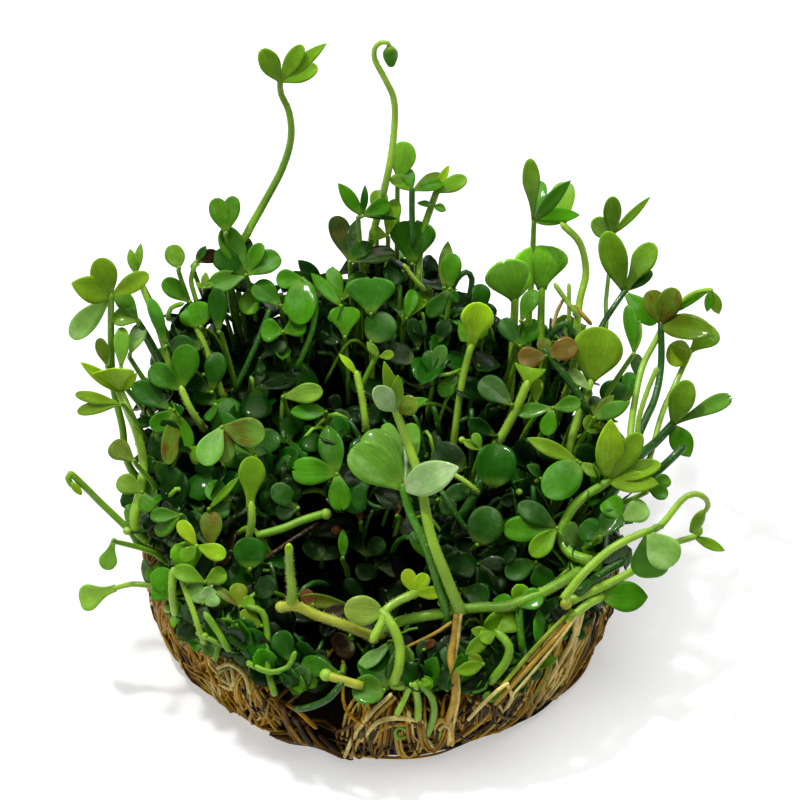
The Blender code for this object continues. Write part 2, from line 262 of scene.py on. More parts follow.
def noiseOf(tree, vector, scale, detail=2.0, roughness=0.55):
    node = addNode(tree, "ShaderNodeTexNoise", {"Vector": vector, "Scale": scale, "Detail": detail,
                                                "Roughness": roughness})
    return node.outputs["Fac"]


def rangeOf(tree, value, low, high, outLow, outHigh):
    node = addNode(tree, "ShaderNodeMapRange", {"Value": value, "From Min": low, "From Max": high,
                                                "To Min": outLow, "To Max": outHigh})
    return node.outputs["Result"]


def mathOf(tree, operation, first, second=0.0):
    node = addNode(tree, "ShaderNodeMath", {0: first, 1: second}, operation=operation)
    return node.outputs["Value"]


def times(tree, first, second):
    return mathOf(tree, "MULTIPLY", first, second)


def plus(tree, first, second):
    return mathOf(tree, "ADD", first, second)


def larger(tree, first, second):
    return mathOf(tree, "MAXIMUM", first, second)


def mixColour(tree, factor, first, second):
    node = addNode(tree, "ShaderNodeMix", data_type="RGBA")
    for socket, value in ((node.inputs["Factor"], factor), (node.inputs[6], first), (node.inputs[7], second)):
        if isinstance(value, bpy.types.NodeSocket):
            tree.links.new(value, socket)
        elif isinstance(value, tuple):
            socket.default_value = (*value, 1.0)[:4]
        else:
            socket.default_value = value
    return node.outputs[2]


def dimmed(tree, colour, factor):
    node = addNode(tree, "ShaderNodeVectorMath", {0: colour, "Scale": factor}, operation="SCALE")
    return node.outputs["Vector"]


def bumpOf(tree, height, strength, distance):
    node = addNode(tree, "ShaderNodeBump", {"Height": height, "Strength": strength, "Distance": distance})
    return node.outputs["Normal"]


# Most of a noise lies between these.
wideSpan, narrowSpan = (0.3, 0.7), (0.35, 0.65)

# Water lies on the plant in patches, so the coat does too.
wetFilm = {"scale": 420, "dryBelow": 0.46, "wetAbove": 0.6, "dryShare": 0.1, "roughness": 0.1}


def finishMaterial(tree, colour, roughness, normal, gloss, coat, specularTint=None, filmTint=None):
    place = addNode(tree, "ShaderNodeTexCoord").outputs["Object"]
    film = rangeOf(tree, noiseOf(tree, place, wetFilm["scale"]), wetFilm["dryBelow"], wetFilm["wetAbove"],
                   coat * wetFilm["dryShare"], coat)
    shader = addNode(tree, "ShaderNodeBsdfPrincipled", {
        "Base Color": colour, "Roughness": roughness, "Normal": normal,
        "Specular IOR Level": gloss, "Coat Weight": film, "Coat Roughness": wetFilm["roughness"]})
    if specularTint:
        shader.inputs["Specular Tint"].default_value = specularTint
        shader.inputs["Coat Tint"].default_value = filmTint
    output = addNode(tree, "ShaderNodeOutputMaterial")
    tree.links.new(shader.outputs["BSDF"], output.inputs["Surface"])


# Wet leaf skin: fan veins, a lighter rim and neck, blotches, red patches where alpha is above 0, a painted
# shade towards the neck and a painted sheen towards the tip, and pale painted sheen patches where alpha is
# below 0.
leafLook = {
    "specularTint": (0.8, 1.0, 0.5, 1.0),
    "filmTint": (0.94, 1.0, 0.72, 1.0),
    "blotchScale": 420,
    "patchScale": 260,
    "wrinkleScale": 900,
    "grainScale": 2800,
    "glareScale": 210,
    "mottleScale": 1500,
    "blotchShades": (0.8, 1.16),
    "veinsAcross": 11.0,
    "veinsAlong": 1.3,
    "veinsBent": 1.5,
    "veinScale": 1.6,
    "veinShades": (0.88, 1.08),
    "neckToTipShades": (0.8, 1.1),
    "neckEnd": 0.2,              # shares of the leaflet's length
    "rimStart": 0.86,
    "rimShade": 1.4,
    "patchAlongVeins": 0.8,
    "patchSpan": (0.9, 1.05, 0.0, 1.0),
    "mottleSpan": (0.4, 0.62, 0.45, 1.0),
    "glareSpan": (0.44, 0.62, 0.25, 1.0),
    "tipSpan": (0.55, 1.0, 0.0, 0.02),
    "neck": tone(140, 172, 60),
    "blush": tone(88, 50, 10),
    "sheen": tone(192, 208, 164),
    "roughness": (0.36, 0.52),
    "gloss": 0.12,
    "relief": {"veins": 0.7, "grain": 0.45, "wrinkle": 0.8},
    "reliefDepth": 0.12,
}


def leafMaterial(name, wetness, neckShare):
    material, tree, place, tint = plantMaterial(name)
    leafMap = addNode(tree, "ShaderNodeUVMap", uv_map="leafMap").outputs["UV"]
    split = addNode(tree, "ShaderNodeSeparateXYZ", {"Vector": leafMap})
    across, along = split.outputs["X"], split.outputs["Y"]
    side = times(tree, mathOf(tree, "ABSOLUTE", mathOf(tree, "SUBTRACT", across, 0.5)), 2.0)
    blotch = noiseOf(tree, place, leafLook["blotchScale"], 3.0)
    fan = addNode(tree, "ShaderNodeCombineXYZ", {
        "X": times(tree, across, leafLook["veinsAcross"]),
        "Y": times(tree, along, leafLook["veinsAlong"]),
        "Z": times(tree, blotch, leafLook["veinsBent"])}).outputs["Vector"]
    veins = noiseOf(tree, fan, leafLook["veinScale"], 2.0, 0.6)
    colour = dimmed(tree, tint.outputs["Color"], rangeOf(tree, blotch, *wideSpan, *leafLook["blotchShades"]))
    colour = dimmed(tree, colour, rangeOf(tree, veins, *narrowSpan, *leafLook["veinShades"]))
    # Painted shade towards the neck and painted sheen towards the tip.
    colour = dimmed(tree, colour, rangeOf(tree, along, 0.1, 0.9, *leafLook["neckToTipShades"]))
    neck = rangeOf(tree, along, 0.0, leafLook["neckEnd"], neckShare, 0.0)
    colour = mixColour(tree, neck, colour, leafLook["neck"])
    edge = larger(tree, side, along)
    colour = dimmed(tree, colour, rangeOf(tree, edge, leafLook["rimStart"], 1.0, 1.0, leafLook["rimShade"]))
    patches = noiseOf(tree, place, leafLook["patchScale"], 3.0, 0.6)
    patches = plus(tree, patches, times(tree, veins, leafLook["patchAlongVeins"]))
    patches = rangeOf(tree, patches, *leafLook["patchSpan"])
    blush = larger(tree, times(tree, patches, tint.outputs["Alpha"]), 0.0)
    colour = mixColour(tree, blush, colour, leafLook["blush"])
    grain = noiseOf(tree, place, leafLook["grainScale"], 2.0)
    # Painted sheen: pale mottled glare where alpha is below 0, and a little towards every tip.
    mottle = rangeOf(tree, noiseOf(tree, place, leafLook["mottleScale"], 3.0), *leafLook["mottleSpan"])
    glare = rangeOf(tree, noiseOf(tree, place, leafLook["glareScale"], 1.0), *leafLook["glareSpan"])
    paintedSheenShare = larger(tree, times(tree, tint.outputs["Alpha"], -1.0), 0.0)
    paintedSheenShare = plus(tree, paintedSheenShare, rangeOf(tree, along, *leafLook["tipSpan"]))
    paintedSheenShare = times(tree, paintedSheenShare, times(tree, mottle, glare))
    colour = mixColour(tree, paintedSheenShare, colour, leafLook["sheen"])
    roughness = rangeOf(tree, blotch, *wideSpan, *leafLook["roughness"])
    wrinkle = noiseOf(tree, place, leafLook["wrinkleScale"], 2.0)
    relief = plus(tree, times(tree, veins, leafLook["relief"]["veins"]),
                  times(tree, grain, leafLook["relief"]["grain"]))
    relief = plus(tree, relief, times(tree, wrinkle, leafLook["relief"]["wrinkle"]))
    normal = bumpOf(tree, relief, 0.6, leafLook["reliefDepth"] * mm)
    finishMaterial(tree, colour, roughness, normal, leafLook["gloss"], wetness, leafLook["specularTint"],
                   leafLook["filmTint"])
    return material


stalkLook = {
    "patchScale": 330,
    "grainScale": 2600,
    "shades": (0.78, 1.18),
    "flecks": tone(196, 208, 130),
    "fleckShare": 0.35,
    "roughness": (0.34, 0.5),
    "gloss": 0.25,
    "coat": 0.35,
    "reliefDepth": 0.1,
}


def stalkMaterial(name):
    material, tree, place, tint = plantMaterial(name)
    patches = noiseOf(tree, place, stalkLook["patchScale"], 3.0)
    grain = noiseOf(tree, place, stalkLook["grainScale"], 2.0)
    colour = dimmed(tree, tint.outputs["Color"], rangeOf(tree, patches, *wideSpan, *stalkLook["shades"]))
    flecks = rangeOf(tree, grain, 0.6, 0.75, 0.0, stalkLook["fleckShare"])
    colour = mixColour(tree, flecks, colour, stalkLook["flecks"])
    relief = plus(tree, patches, times(tree, grain, 0.5))
    normal = bumpOf(tree, relief, 0.6, stalkLook["reliefDepth"] * mm)
    roughness = rangeOf(tree, grain, *wideSpan, *stalkLook["roughness"])
    finishMaterial(tree, colour, roughness, normal, stalkLook["gloss"], stalkLook["coat"])
    return material


rootLook = {
    "specularTint": (1.0, 0.85, 0.5, 1.0),
    "filmTint": (1.0, 0.92, 0.7, 1.0),
    "patchScale": 240,
    "fibreScale": 1800,
    "fibreShades": (0.88, 1.1),
    "reliefDepth": 0.1,
}


# A root's patches run from a low to a high share of its colour.
def rootMaterial(name, low, high, gloss, coat, rough):
    material, tree, place, tint = plantMaterial(name)
    patches = noiseOf(tree, place, rootLook["patchScale"], 4.0, 0.65)
    fibres = noiseOf(tree, place, rootLook["fibreScale"], 3.0)
    colour = dimmed(tree, tint.outputs["Color"], rangeOf(tree, patches, *wideSpan, low, high))
    colour = dimmed(tree, colour, rangeOf(tree, fibres, *narrowSpan, *rootLook["fibreShades"]))
    normal = bumpOf(tree, plus(tree, patches, fibres), 0.4, rootLook["reliefDepth"] * mm)
    roughness = rangeOf(tree, fibres, *wideSpan, rough - 0.1, rough)
    finishMaterial(tree, colour, roughness, normal, gloss, coat,
                   rootLook["specularTint"], rootLook["filmTint"])
    return material


leafSkin = leafMaterial("wetLeaf", 0.24, 0.35)
deepLeafSkin = leafMaterial("wetDeepLeaf", 0.16, 0.08)
stalkSkin = stalkMaterial("hairyStalk")
rootSkin = rootMaterial("wetRoot", 0.42, 1.25, 0.12, 0.3, 0.5)
coreSkin = rootMaterial("darkRootFelt", 0.6, 1.1, 0.03, 0.0, 0.95)
print("materials made")

# Leaflet patterns: widest place, how hollow the neck is, how blunt the tip is.
bladeOutlines = {
    "spoon": (0.66, 2.7, 0.5),
    "round": (0.52, 0.8, 0.5),
    "clover": (0.62, 1.25, 0.5),
    "pointed": (0.5, 1.0, 0.9),
    "notched": (0.62, 1.1, 0.42),
    "fan": (0.7, 1.7, 0.5),
    "heart": (0.68, 1.5, 0.5),
    "tooth": (0.76, 2.0, 0.45),
    "funnel": (0.97, 2.0, 0.5),
}
neckWidths = {"spoon": 0.28, "round": 0.14, "clover": 0.14, "pointed": 0.14, "notched": 0.16, "fan": 0.17,
              "heart": 0.17, "tooth": 0.2, "funnel": 0.2}
# Rows and columns of a leaflet, how much closer its rows are at the tip, and how thin its rim is.
bladeModel = {"fine": (12, 8), "small": (6, 4), "crowding": 1.45, "rimThickness": 0.3}
# The notch in a tip: the end's width, its depth, and the depth of the row before it.
notches = {"notched": (0.3, 0.16, 0.11), "heart": (0.4, 0.07, 0.03), "tooth": (0.4, 0.06, 0.03)}


def halfWidth(kind, along):
    widest, hollow, blunt = bladeOutlines[kind]
    if along <= widest:
        swell = math.sin(math.pi / 2 * (along / widest) ** hollow)
        return neckWidths[kind] + (1 - neckWidths[kind]) * swell
    past = (along - widest) / (1 - widest)
    return max(notches[kind][0] if kind in notches else 0.0, (1 - past ** 2) ** blunt)


def selectOnly(*pieces):
    bpy.ops.object.select_all(action="DESELECT")
    for piece in pieces:
        piece.select_set(True)
    if pieces:
        bpy.context.view_layer.objects.active = pieces[0]


# Every face looks outwards, and points that lie together become one.
def cleanMesh(together=0.0):
    bpy.ops.object.mode_set(mode="EDIT")
    bpy.ops.mesh.select_all(action="SELECT")
    if together:
        bpy.ops.mesh.remove_doubles(threshold=together)
    bpy.ops.mesh.normals_make_consistent(inside=False)
    bpy.ops.object.mode_set(mode="OBJECT")


def addObject(name, data):
    made = bpy.data.objects.new(name, data)
    bpy.context.scene.collection.objects.link(made)
    return made


def selectPoints(piece, wanted):
    bpy.ops.mesh.select_all(action="DESELECT")
    shape = bmesh.from_edit_mesh(piece.data)
    shape.verts.index_update()
    for vertex in shape.verts:
        vertex.select = wanted(vertex)
    shape.select_flush_mode()


# The tip's middle drops into the notch, the row before it follows, and the tip's corners are rounded.
def cutNotch(blade, depth, shallow):
    def inMiddle(vertex):
        return abs(vertex.co.x) < 0.02

    steps = ((lambda vertex: vertex.co.y > 0.999 and inMiddle(vertex), depth),
             (lambda vertex: 0.93 < vertex.co.y < 0.999 and inMiddle(vertex), shallow),
             (lambda vertex: vertex.co.y > 0.999 and abs(vertex.co.x) > 0.1, 0.05))
    for wanted, drop in steps:
        selectPoints(blade, wanted)
        bpy.ops.transform.translate(value=(0, -drop, 0))


# A flat grid is narrowed row by row to the leaflet's outline, then thickened. Rows lie closer at the tip.
def modelBlade(kind, rows, columns):
    selectOnly()
    bpy.ops.mesh.primitive_grid_add(x_subdivisions=columns, y_subdivisions=rows, size=1, location=(0, 0.5, 0))
    blade = bpy.context.object
    bpy.ops.object.transform_apply(location=True)
    rowOf = [round(v.co.y * rows) for v in blade.data.vertices]
    bpy.ops.object.mode_set(mode="EDIT")
    for row in range(rows + 1):
        selectPoints(blade, lambda vertex: rowOf[vertex.index] == row)
        along = 1 - (1 - row / rows) ** bladeModel["crowding"]
        share = halfWidth(kind, along)
        bpy.ops.transform.resize(value=(max(share, 1e-6), 1, 1), center_override=(0, row / rows, 0))
        bpy.ops.transform.translate(value=(0, along - row / rows, 0))
    if kind in notches:
        cutNotch(blade, *notches[kind][1:])
    cleanMesh(1e-4)
    shape = bmesh.new()
    shape.from_mesh(blade.data)
    inner = [v.index for v in shape.verts if not v.is_boundary]
    shape.free()
    group = blade.vertex_groups.new(name="flesh")
    group.add(inner, 1.0, "REPLACE")
    flesh = blade.modifiers.new("Flesh", "SOLIDIFY")
    flesh.thickness = 1.0        # scaled to the leaflet's own thickness in each copy
    flesh.offset = 0.0
    flesh.vertex_group = "flesh"
    flesh.thickness_vertex_group = bladeModel["rimThickness"]
    bpy.ops.object.modifier_apply(modifier="Flesh")
    return readPattern(blade)


def readAll(items, field, kind, width=1):
    values = np.zeros(len(items) * width, dtype=kind)
    items.foreach_get(field, values)
    return values


# Keeps a pattern's shape for the copies and takes the pattern itself out of the scene.
def readPattern(pattern):
    mesh = pattern.data
    points = readAll(mesh.vertices, "co", np.float64, 3)
    corners = readAll(mesh.loops, "vertex_index", np.int64)
    sizes = readAll(mesh.polygons, "loop_total", np.int64)
    leafMap = np.zeros(len(mesh.loops) * 2)
    if mesh.uv_layers:
        mesh.uv_layers.active.data.foreach_get("uv", leafMap)
    bpy.data.objects.remove(pattern)
    return {"points": points.reshape(-1, 3), "corners": corners, "sizes": sizes,
            "map": leafMap.reshape(-1, 2)}


fineBlades = {kind: modelBlade(kind, *bladeModel["fine"]) for kind in bladeOutlines}
smallBlades = {kind: modelBlade(kind, *bladeModel["small"]) for kind in bladeOutlines}
selectOnly()
bpy.ops.mesh.primitive_cone_add(vertices=3, radius1=1, radius2=0, depth=1, location=(0, 0, 0.5))
bpy.ops.object.transform_apply(location=True)
hairPattern = readPattern(bpy.context.object)
print("leaflet patterns made")


def newHeap():
    return {"points": [], "corners": [], "sizes": [], "maps": [], "tints": [], "count": 0}


def addCopy(heap, pattern, points, tint):
    heap["points"].append(points)
    heap["corners"].append(pattern["corners"] + heap["count"])
    heap["sizes"].append(pattern["sizes"])
    heap["maps"].append(pattern["map"])
    heap["tints"].append(np.tile(np.array(tint), (len(points), 1)))
    heap["count"] += len(points)


def meshOf(name, heap, material):
    mesh = bpy.data.meshes.new(name)
    points = np.concatenate(heap["points"]) * mm
    corners = np.concatenate(heap["corners"])
    sizes = np.concatenate(heap["sizes"])
    mesh.vertices.add(len(points))
    mesh.vertices.foreach_set("co", points.astype(np.float32).ravel())
    mesh.loops.add(len(corners))
    mesh.loops.foreach_set("vertex_index", corners.astype(np.int32))
    mesh.polygons.add(len(sizes))
    mesh.polygons.foreach_set("loop_start", (np.cumsum(sizes) - sizes).astype(np.int32))
    mesh.update(calc_edges=True)
    leafMap = mesh.uv_layers.new(name="leafMap")
    leafMap.data.foreach_set("uv", np.concatenate(heap["maps"]).astype(np.float32).ravel())
    tint = mesh.attributes.new("tint", "FLOAT_COLOR", "POINT")
    tint.data.foreach_set("color", np.concatenate(heap["tints"]).astype(np.float32).ravel())
    mesh.shade_smooth()
    mesh.materials.append(material)
    return addObject(name, mesh)


# Everything rides on the one body. Some pieces take the place of the part's nodes.
def setPiece(piece, slot, *nodes):
    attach(piece, "root")
    if nodes:
        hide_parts(*nodes)


# What the lens sees of the fronds read from the photo, so that the small ones keep clear of them.
shownSpots = []


def keepClear(point, radius, margin=0.6):
    px, py, ahead = toPixel(point)
    shownSpots.append((px, py, radius * photo["pixelsPerMm"], ahead - margin))


def keepRouteClear(route, extra=0.0, margin=0.6):
    for place, radius in route:
        keepClear(place, radius + extra, margin)


leastCurl = 1e-3             # no leaflet is quite flat


# One leaflet, bent and cupped, from its hub to its tip.
# The blush goes into the tint's alpha: red patches above 0, painted pale sheen patches below 0.
def addBlade(heap, blades, kind, hub, tip, width, facing, tint, cup=0.1, curl=0.3, fold=0.0, wave=0.03,
             blush=0.0, thickness=0.22):
    pattern = blades[kind]
    reach = tip - hub
    axis = reach.normalized()
    normal = (facing - axis * facing.dot(axis)).normalized()
    side = axis.cross(normal)
    curl = curl if abs(curl) > leastCurl else leastCurl
    length = reach.length * (curl / 2) / math.sin(curl / 2)
    x, y, z = pattern["points"].T
    share = np.abs(x) * 2
    raised = width * (cup * share ** 2 + fold * share)
    raised = raised + width * wave * share ** 2 * np.sin(7 * y + 9 * random.random())
    raised = raised + z * thickness
    turned = curl * y - curl / 2
    alongLine = length / curl * (np.sin(turned) + math.sin(curl / 2))
    aboveLine = length / curl * (np.cos(turned) - math.cos(curl / 2))
    flat = x * width
    lengthwise = alongLine + raised * np.sin(turned)
    above = aboveLine + raised * np.cos(turned)
    basis = np.array([side, axis, normal])
    points = np.stack([flat, lengthwise, above], axis=1) @ basis + np.array(hub)
    addCopy(heap, pattern, points, (*tint, blush))


# A smooth line through a few points, with a radius at each of them.
def smoothRoute(points, radii, step):
    route = []
    count = len(points)
    for i in range(count - 1):
        before = points[i - 1] if i > 0 else points[i] * 2 - points[i + 1]
        after = points[i + 2] if i + 2 < count else points[i + 1] * 2 - points[i]
        here, there = points[i], points[i + 1]
        pieces = max(1, round((there - here).length / step))
        for k in range(pieces):
            t = k / pieces
            curve = here * 2 + (there - before) * t
            curve = curve + (before * 2 - here * 5 + there * 4 - after) * t ** 2
            curve = curve + (here * 3 - before - there * 3 + after) * t ** 3
            route.append((curve / 2, radii[i] + (radii[i + 1] - radii[i]) * t))
    route.append((points[-1], radii[-1]))
    return route


# A stalk runs on a little under its leaflets and thins out there, and along a single leaf.
def taperedEnd(route, tip=None):
    (before, _), (end, radius) = route[-2:]
    if tip:
        return route + [(end.lerp(tip, share) + viewAhead * radius * under, radius * left)
                        for share, under, left in ((0.1, 0.9, 0.8), (0.2, 1.5, 0.5), (0.3, 1.8, 0.15))]
    onward = (end - before).normalized()
    return route + [(end + onward * radius * 0.8, radius * 0.72), (end + onward * radius * 1.4, radius * 0.3)]


# Stalks and roots are curves with a round bevel, turned into a mesh.
def drawTubes(name, routes, tint, material, roundness=2):
    line = bpy.data.curves.new(name, "CURVE")
    line.dimensions = "3D"
    line.bevel_depth = mm
    line.bevel_resolution = roundness
    line.use_fill_caps = True
    for route in routes:
        spline = line.splines.new("POLY")
        spline.points.add(len(route) - 1)
        for spot, (place, radius) in zip(spline.points, route):
            spot.co = (place.x * mm, place.y * mm, max(place.z, radius + 0.02) * mm, 1)
            spot.radius = radius
    selectOnly(addObject(name, line))
    bpy.ops.object.convert(target="MESH")
    tube = bpy.context.object
    cleanMesh(1e-6)
    mesh = tube.data
    mesh.shade_smooth()
    mesh.materials.clear()
    mesh.materials.append(material)
    colours = mesh.attributes.new("tint", "FLOAT_COLOR", "POINT")
    colours.data.foreach_set("color", np.tile(np.array((*tint, 0.0)), len(mesh.vertices)).astype(np.float32))
    return tube


def joinPieces(pieces, name):
    selectOnly(*pieces)
    if len(pieces) > 1:
        bpy.ops.object.join()
    pieces[0].name = name
    return pieces[0]


hairLengths = {"fronds": 0.26, "coils": 0.24, "uprightShoot": 0.32, "left": 0.3, "right": 0.2, "strays": 0.24}


# Short pale hairs that stand off a stalk.
def addHairs(heap, route, perMm, length):
    tint = (*stalkTones["hair"], 0.0)
    for (start, radius), (end, _) in zip(route, route[1:]):
        span = end - start
        for _ in range(int(span.length * perMm + random.random())):
            axis = span.normalized()
            away = Vector((random.gauss(0, 1), random.gauss(0, 1), random.gauss(0, 1)))
            away = (away - axis * away.dot(axis)).normalized()
            foot = start + span * random.random() + away * radius * 0.9
            lean = (away + axis * random.uniform(-0.5, 0.5)).normalized()
            side = lean.orthogonal().normalized()
            basis = np.array([side * 0.03, lean.cross(side) * 0.03, lean * length * random.uniform(0.5, 1.4)])
            addCopy(heap, hairPattern, hairPattern["points"] @ basis + np.array(foot), tint)


# Where a stalk comes out of the mat: nearer to its middle than the point over it, and a little sunk in.
stalkFoot = {"nearer": 0.85, "within": 26, "sunk": 0.5, "turnsDown": 0.4, "longest": 6.0, "dropShare": 0.5}


def footUnder(point):
    inward = min(stalkFoot["nearer"], stalkFoot["within"] / max(1.0, point.xy.length))
    return Vector((point.x * inward, point.y * inward, rootMat["height"] - stalkFoot["sunk"]))


# A stalk goes on below its lowest point in the photo the way it was heading, and then down to the mat.
def rooted(points):
    heading = (points[0] - points[1]).normalized()
    heading = (heading - Vector((0, 0, stalkFoot["turnsDown"]))).normalized()
    drop = max(0.0, points[0].z - rootMat["height"])
    below = points[0] + heading * min(stalkFoot["longest"], drop * stalkFoot["dropShare"])
    return [footUnder(below), below] + points


# Fronds that stand clear, read from the photo: x and y in its pixels, then the depth in mm.
# A stalk runs up to its hub. A leaflet has a kind, a tip with its depth, and a width in pixels.
fronds = {
    "tallCross": {
        "nodes": "tall_cross", "tints": ("fresh", "fresh"), "widths": (9, 6), "hairs": 10,
        "stalk": [(247, 234, 23), (263, 205, 25.5), (282, 169, 27.5), (291, 138, 29), (289, 112, 30.5),
                  (281, 94, 31.5), (280, 82, 32)],
        "leaflets": [("clover", 261, 49, 33, 21), ("clover", 303, 45, 33.5, 17), ("pointed", 327, 43, 34, 14),
                     ("clover", 318, 67, 32, 19)],
    },
    "topCross": {
        "nodes": "top_cross", "tints": ("fresh", "mid"), "widths": (8, 5),
        "stalk": [(528, 330, 18), (531, 285, 21), (533, 245, 24), (534, 221, 25)],
        "leaflets": [("spoon", 530, 158, 28, 18, "fresh"), ("clover", 541, 181, 30, 17),
                     ("pointed", 571, 180, 22, 15), ("pointed", 580, 215, 22, 18)],
    },
    "bentLeaf": {
        "nodes": "bent", "tints": ("lime", "fresh"), "widths": (8, 7), "hairs": 6,
        "stalk": [(577, 325, 14), (580, 299, 16.5), (586, 272, 19), (580, 243, 20.5), (564, 226, 21.5)],
        "leaflets": [("clover", 563, 182, 33, 25, "fresh")],
    },
    "rightFan": {
        "nodes": "right_fan", "tints": ("fresh", "bright"), "widths": (9, 7),
        "stalk": [(541, 345, 17), (541, 320, 19), (542, 290, 21)],
        "leaflets": [("fan", 541, 245, 24, 54)],
    },
    "leftFan": {
        "nodes": "left_fan", "tints": ("lime", "bright"), "widths": (9, 8), "hairs": 8,
        "stalk": [(510, 392, 12), (513, 345, 15.5), (515, 301, 18)],
        "leaflets": [("heart", 503, 260, 19, 46), ("clover", 526, 268, 20, 18)],
    },
    "limeSpoon": {
        "nodes": "lime_spoon", "tints": ("lime", "lime"), "widths": (8, 7),
        "stalk": [(454, 440, 3), (458, 409, 5), (463, 377, 7.5), (471, 346, 9.5)],
        "leaflets": [("spoon", 480, 302, 12, 33)],
    },
    "rightCrown": {
        "nodes": "right_crown", "tints": ("dark", "fresh"), "widths": (8, 6),
        "stalk": [(588, 372, 12), (600, 330, 17), (624, 292, 21.5)],
        "leaflets": [("clover", 606, 231, 25, 28), ("spoon", 654, 243, 25, 25, "fresh"),
                     ("clover", 652, 271, 24, 14, "deep"), ("clover", 656, 324, 18, 23, "mid")],
    },
    "rightSprig": {
        "nodes": "right_sprig", "tints": ("fresh", "fresh"), "widths": (5, 4),
        "stalk": [(606, 300, 21), (610, 262, 26.5), (612, 235, 28)],
        "leaflets": [("clover", 591, 222, 27, 21), ("clover", 612, 196, 29, 19),
                     ("pointed", 651, 196, 30, 9)],
    },
    "rightGloss": {
        "nodes": "right_gloss", "tints": ("dark", "olive"), "widths": (9, 7),
        "stalk": [(640, 432, 4), (655, 398, 9), (661, 365, 13), (661, 325, 17)],
        "leaflets": [("clover", 676, 288, 19, 25, "red"), ("round", 712, 332, 14, 27, "gloss"),
                     ("clover", 650, 290, 20, 24, "red")],
    },
    "rightArch": {
        "nodes": "right_arch", "tints": ("lime", "fresh"), "widths": (8, 5),
        "stalk": [(631, 428, 4), (634, 406, 7.5), (642, 368, 12.5), (655, 342, 15.5), (668, 318, 18),
                  (683, 301, 19), (697, 292, 19), (710, 290, 18.5)],
        "leaflets": [("pointed", 719, 314, 17, 13), ("pointed", 707, 312, 16.5, 9, "mid"),
                     ("pointed", 668, 315, 18.5, 7, "mid")],
    },
    "rightTooth": {
        "nodes": "right_tooth", "tints": ("dark", "fresh"), "widths": (10, 9),
        "stalk": [(638, 458, 0), (655, 443, 3), (672, 425, 6)],
        "leaflets": [("clover", 689, 380, 8, 26), ("tooth", 732, 397, 7, 18, "moss"),
                     ("pointed", 690, 457, 3, 24, "mid")],
    },
    "bigSpoon": {
        "nodes": "big_spoon", "tints": ("lime", "olive"), "widths": (9, 8), "hairs": 6,
        "stalk": [(568, 456, 1), (572, 438, 2.5), (580, 412, 5), (590, 383, 8)],
        "leaflets": [("clover", 603, 327, 12, 50)],
    },
    "limeCross": {
        "nodes": "lime_cross", "tints": ("fresh", "olive"), "widths": (11, 9), "hairs": 4,
        "stalk": [(590, 561, -14), (570, 553, -12.5), (561, 535, -10), (575, 505, -7), (608, 481, -4)],
        "leaflets": [("pointed", 611, 419, -1, 28, "lime"), ("clover", 641, 433, -2, 23),
                     ("clover", 661, 464, -4, 19), ("pointed", 659, 484, -6, 23)],
    },
    "lowFork": {
        "nodes": "low_fork", "tints": ("lime", "fresh"), "widths": (10, 6), "hairs": 10,
        "stalk": [(570, 601, -18), (604, 586, -15), (636, 569, -12.5), (671, 545, -9), (694, 537, -8)],
        "leaflets": [("pointed", 702, 527, -7, 9), ("pointed", 725, 551, -9, 11)],
    },
    "lowWide": {
        "nodes": "low_wide", "tints": ("lime", "mid"), "widths": (10, 8),
        "stalk": [(566, 623, -20), (585, 606, -18), (601, 597, -16)],
        "leaflets": [("pointed", 648, 597, -15, 31)],
    },
    "lowRound": {
        "nodes": "low_round_leaf", "tints": ("fresh", "silver"), "widths": (6, 5),
        "stalk": [(662, 526, -11), (655, 527, -11.5), (648, 532, -12)],
        "leaflets": [("clover", 651, 578, -13.6, 38, "mid"), ("clover", 673, 566, -15.4, 34)],
    },
    "leftCross": {
        "nodes": "left_cross", "tints": ("fresh", "fresh"), "widths": (8, 7),
        "stalk": [(122, 425, 5), (113, 385, 8), (111, 340, 11), (111, 297, 13)],
        "leaflets": [("pointed", 71, 283, 12, 27, "olive"), ("clover", 98, 258, 15, 27, "olive"),
                     ("clover", 149, 274, 14, 19, "olive"), ("clover", 71, 338, 10, 24, "silver")],
    },
    "leftFlare": {
        "nodes": "left_flare", "tints": ("lime", "lime"), "widths": (10, 9), "hairs": 8,
        "stalk": [(140, 492, -3), (144, 465, 0), (137, 432, 3), (127, 408, 5), (120, 392, 7)],
        "leaflets": [("funnel", 113, 368, 7, 42), ("pointed", 80, 362, 7, 13), ("pointed", 137, 373, 8, 11)],
    },
    "farLeftSpoon": {
        "nodes": "far_left_spoon", "tints": ("lime", "spring"), "widths": (7, 5),
        "stalk": [(152, 586, -13), (132, 584, -13), (116, 588, -13)],
        "leaflets": [("spoon", 80, 602, -13, 27)],
    },
    "frontTall": {
        "nodes": "front_tall", "tints": ("lime", "olive"), "widths": (12, 8), "hairs": 9,
        "stalk": [(461, 613, -20.6), (447, 579, -19), (430, 533, -16), (420, 480, -11), (408, 445, -8),
                  (396, 411, -5)],
        "leaflets": [("pointed", 384, 361, -3, 14, "olive"), ("pointed", 398, 375, -4, 13, "olive"),
                     ("clover", 374, 388, -6, 22, "pale"), ("clover", 418, 402, -5, 20, "red"),
                     ("pointed", 428, 399, -4, 12, "mid")],
    },
    "paleCross": {
        "nodes": "pale_cross", "tints": ("mid", "silver"), "widths": (10, 8), "hairs": 4,
        "stalk": [(438, 583, -18.8), (424, 541, -16.5), (411, 515, -14), (403, 489, -12)],
        "leaflets": [("clover", 351, 449, -8, 40, "moss"), ("clover", 368, 431, -5, 36, "moss"),
                     ("clover", 386, 423, -3, 20, "moss"), ("clover", 412, 423, -3, 23, "moss"),
                     ("pointed", 402, 436, -5, 12, "pale"), ("pointed", 459, 467, -13, 32, "pale")],
    },
}


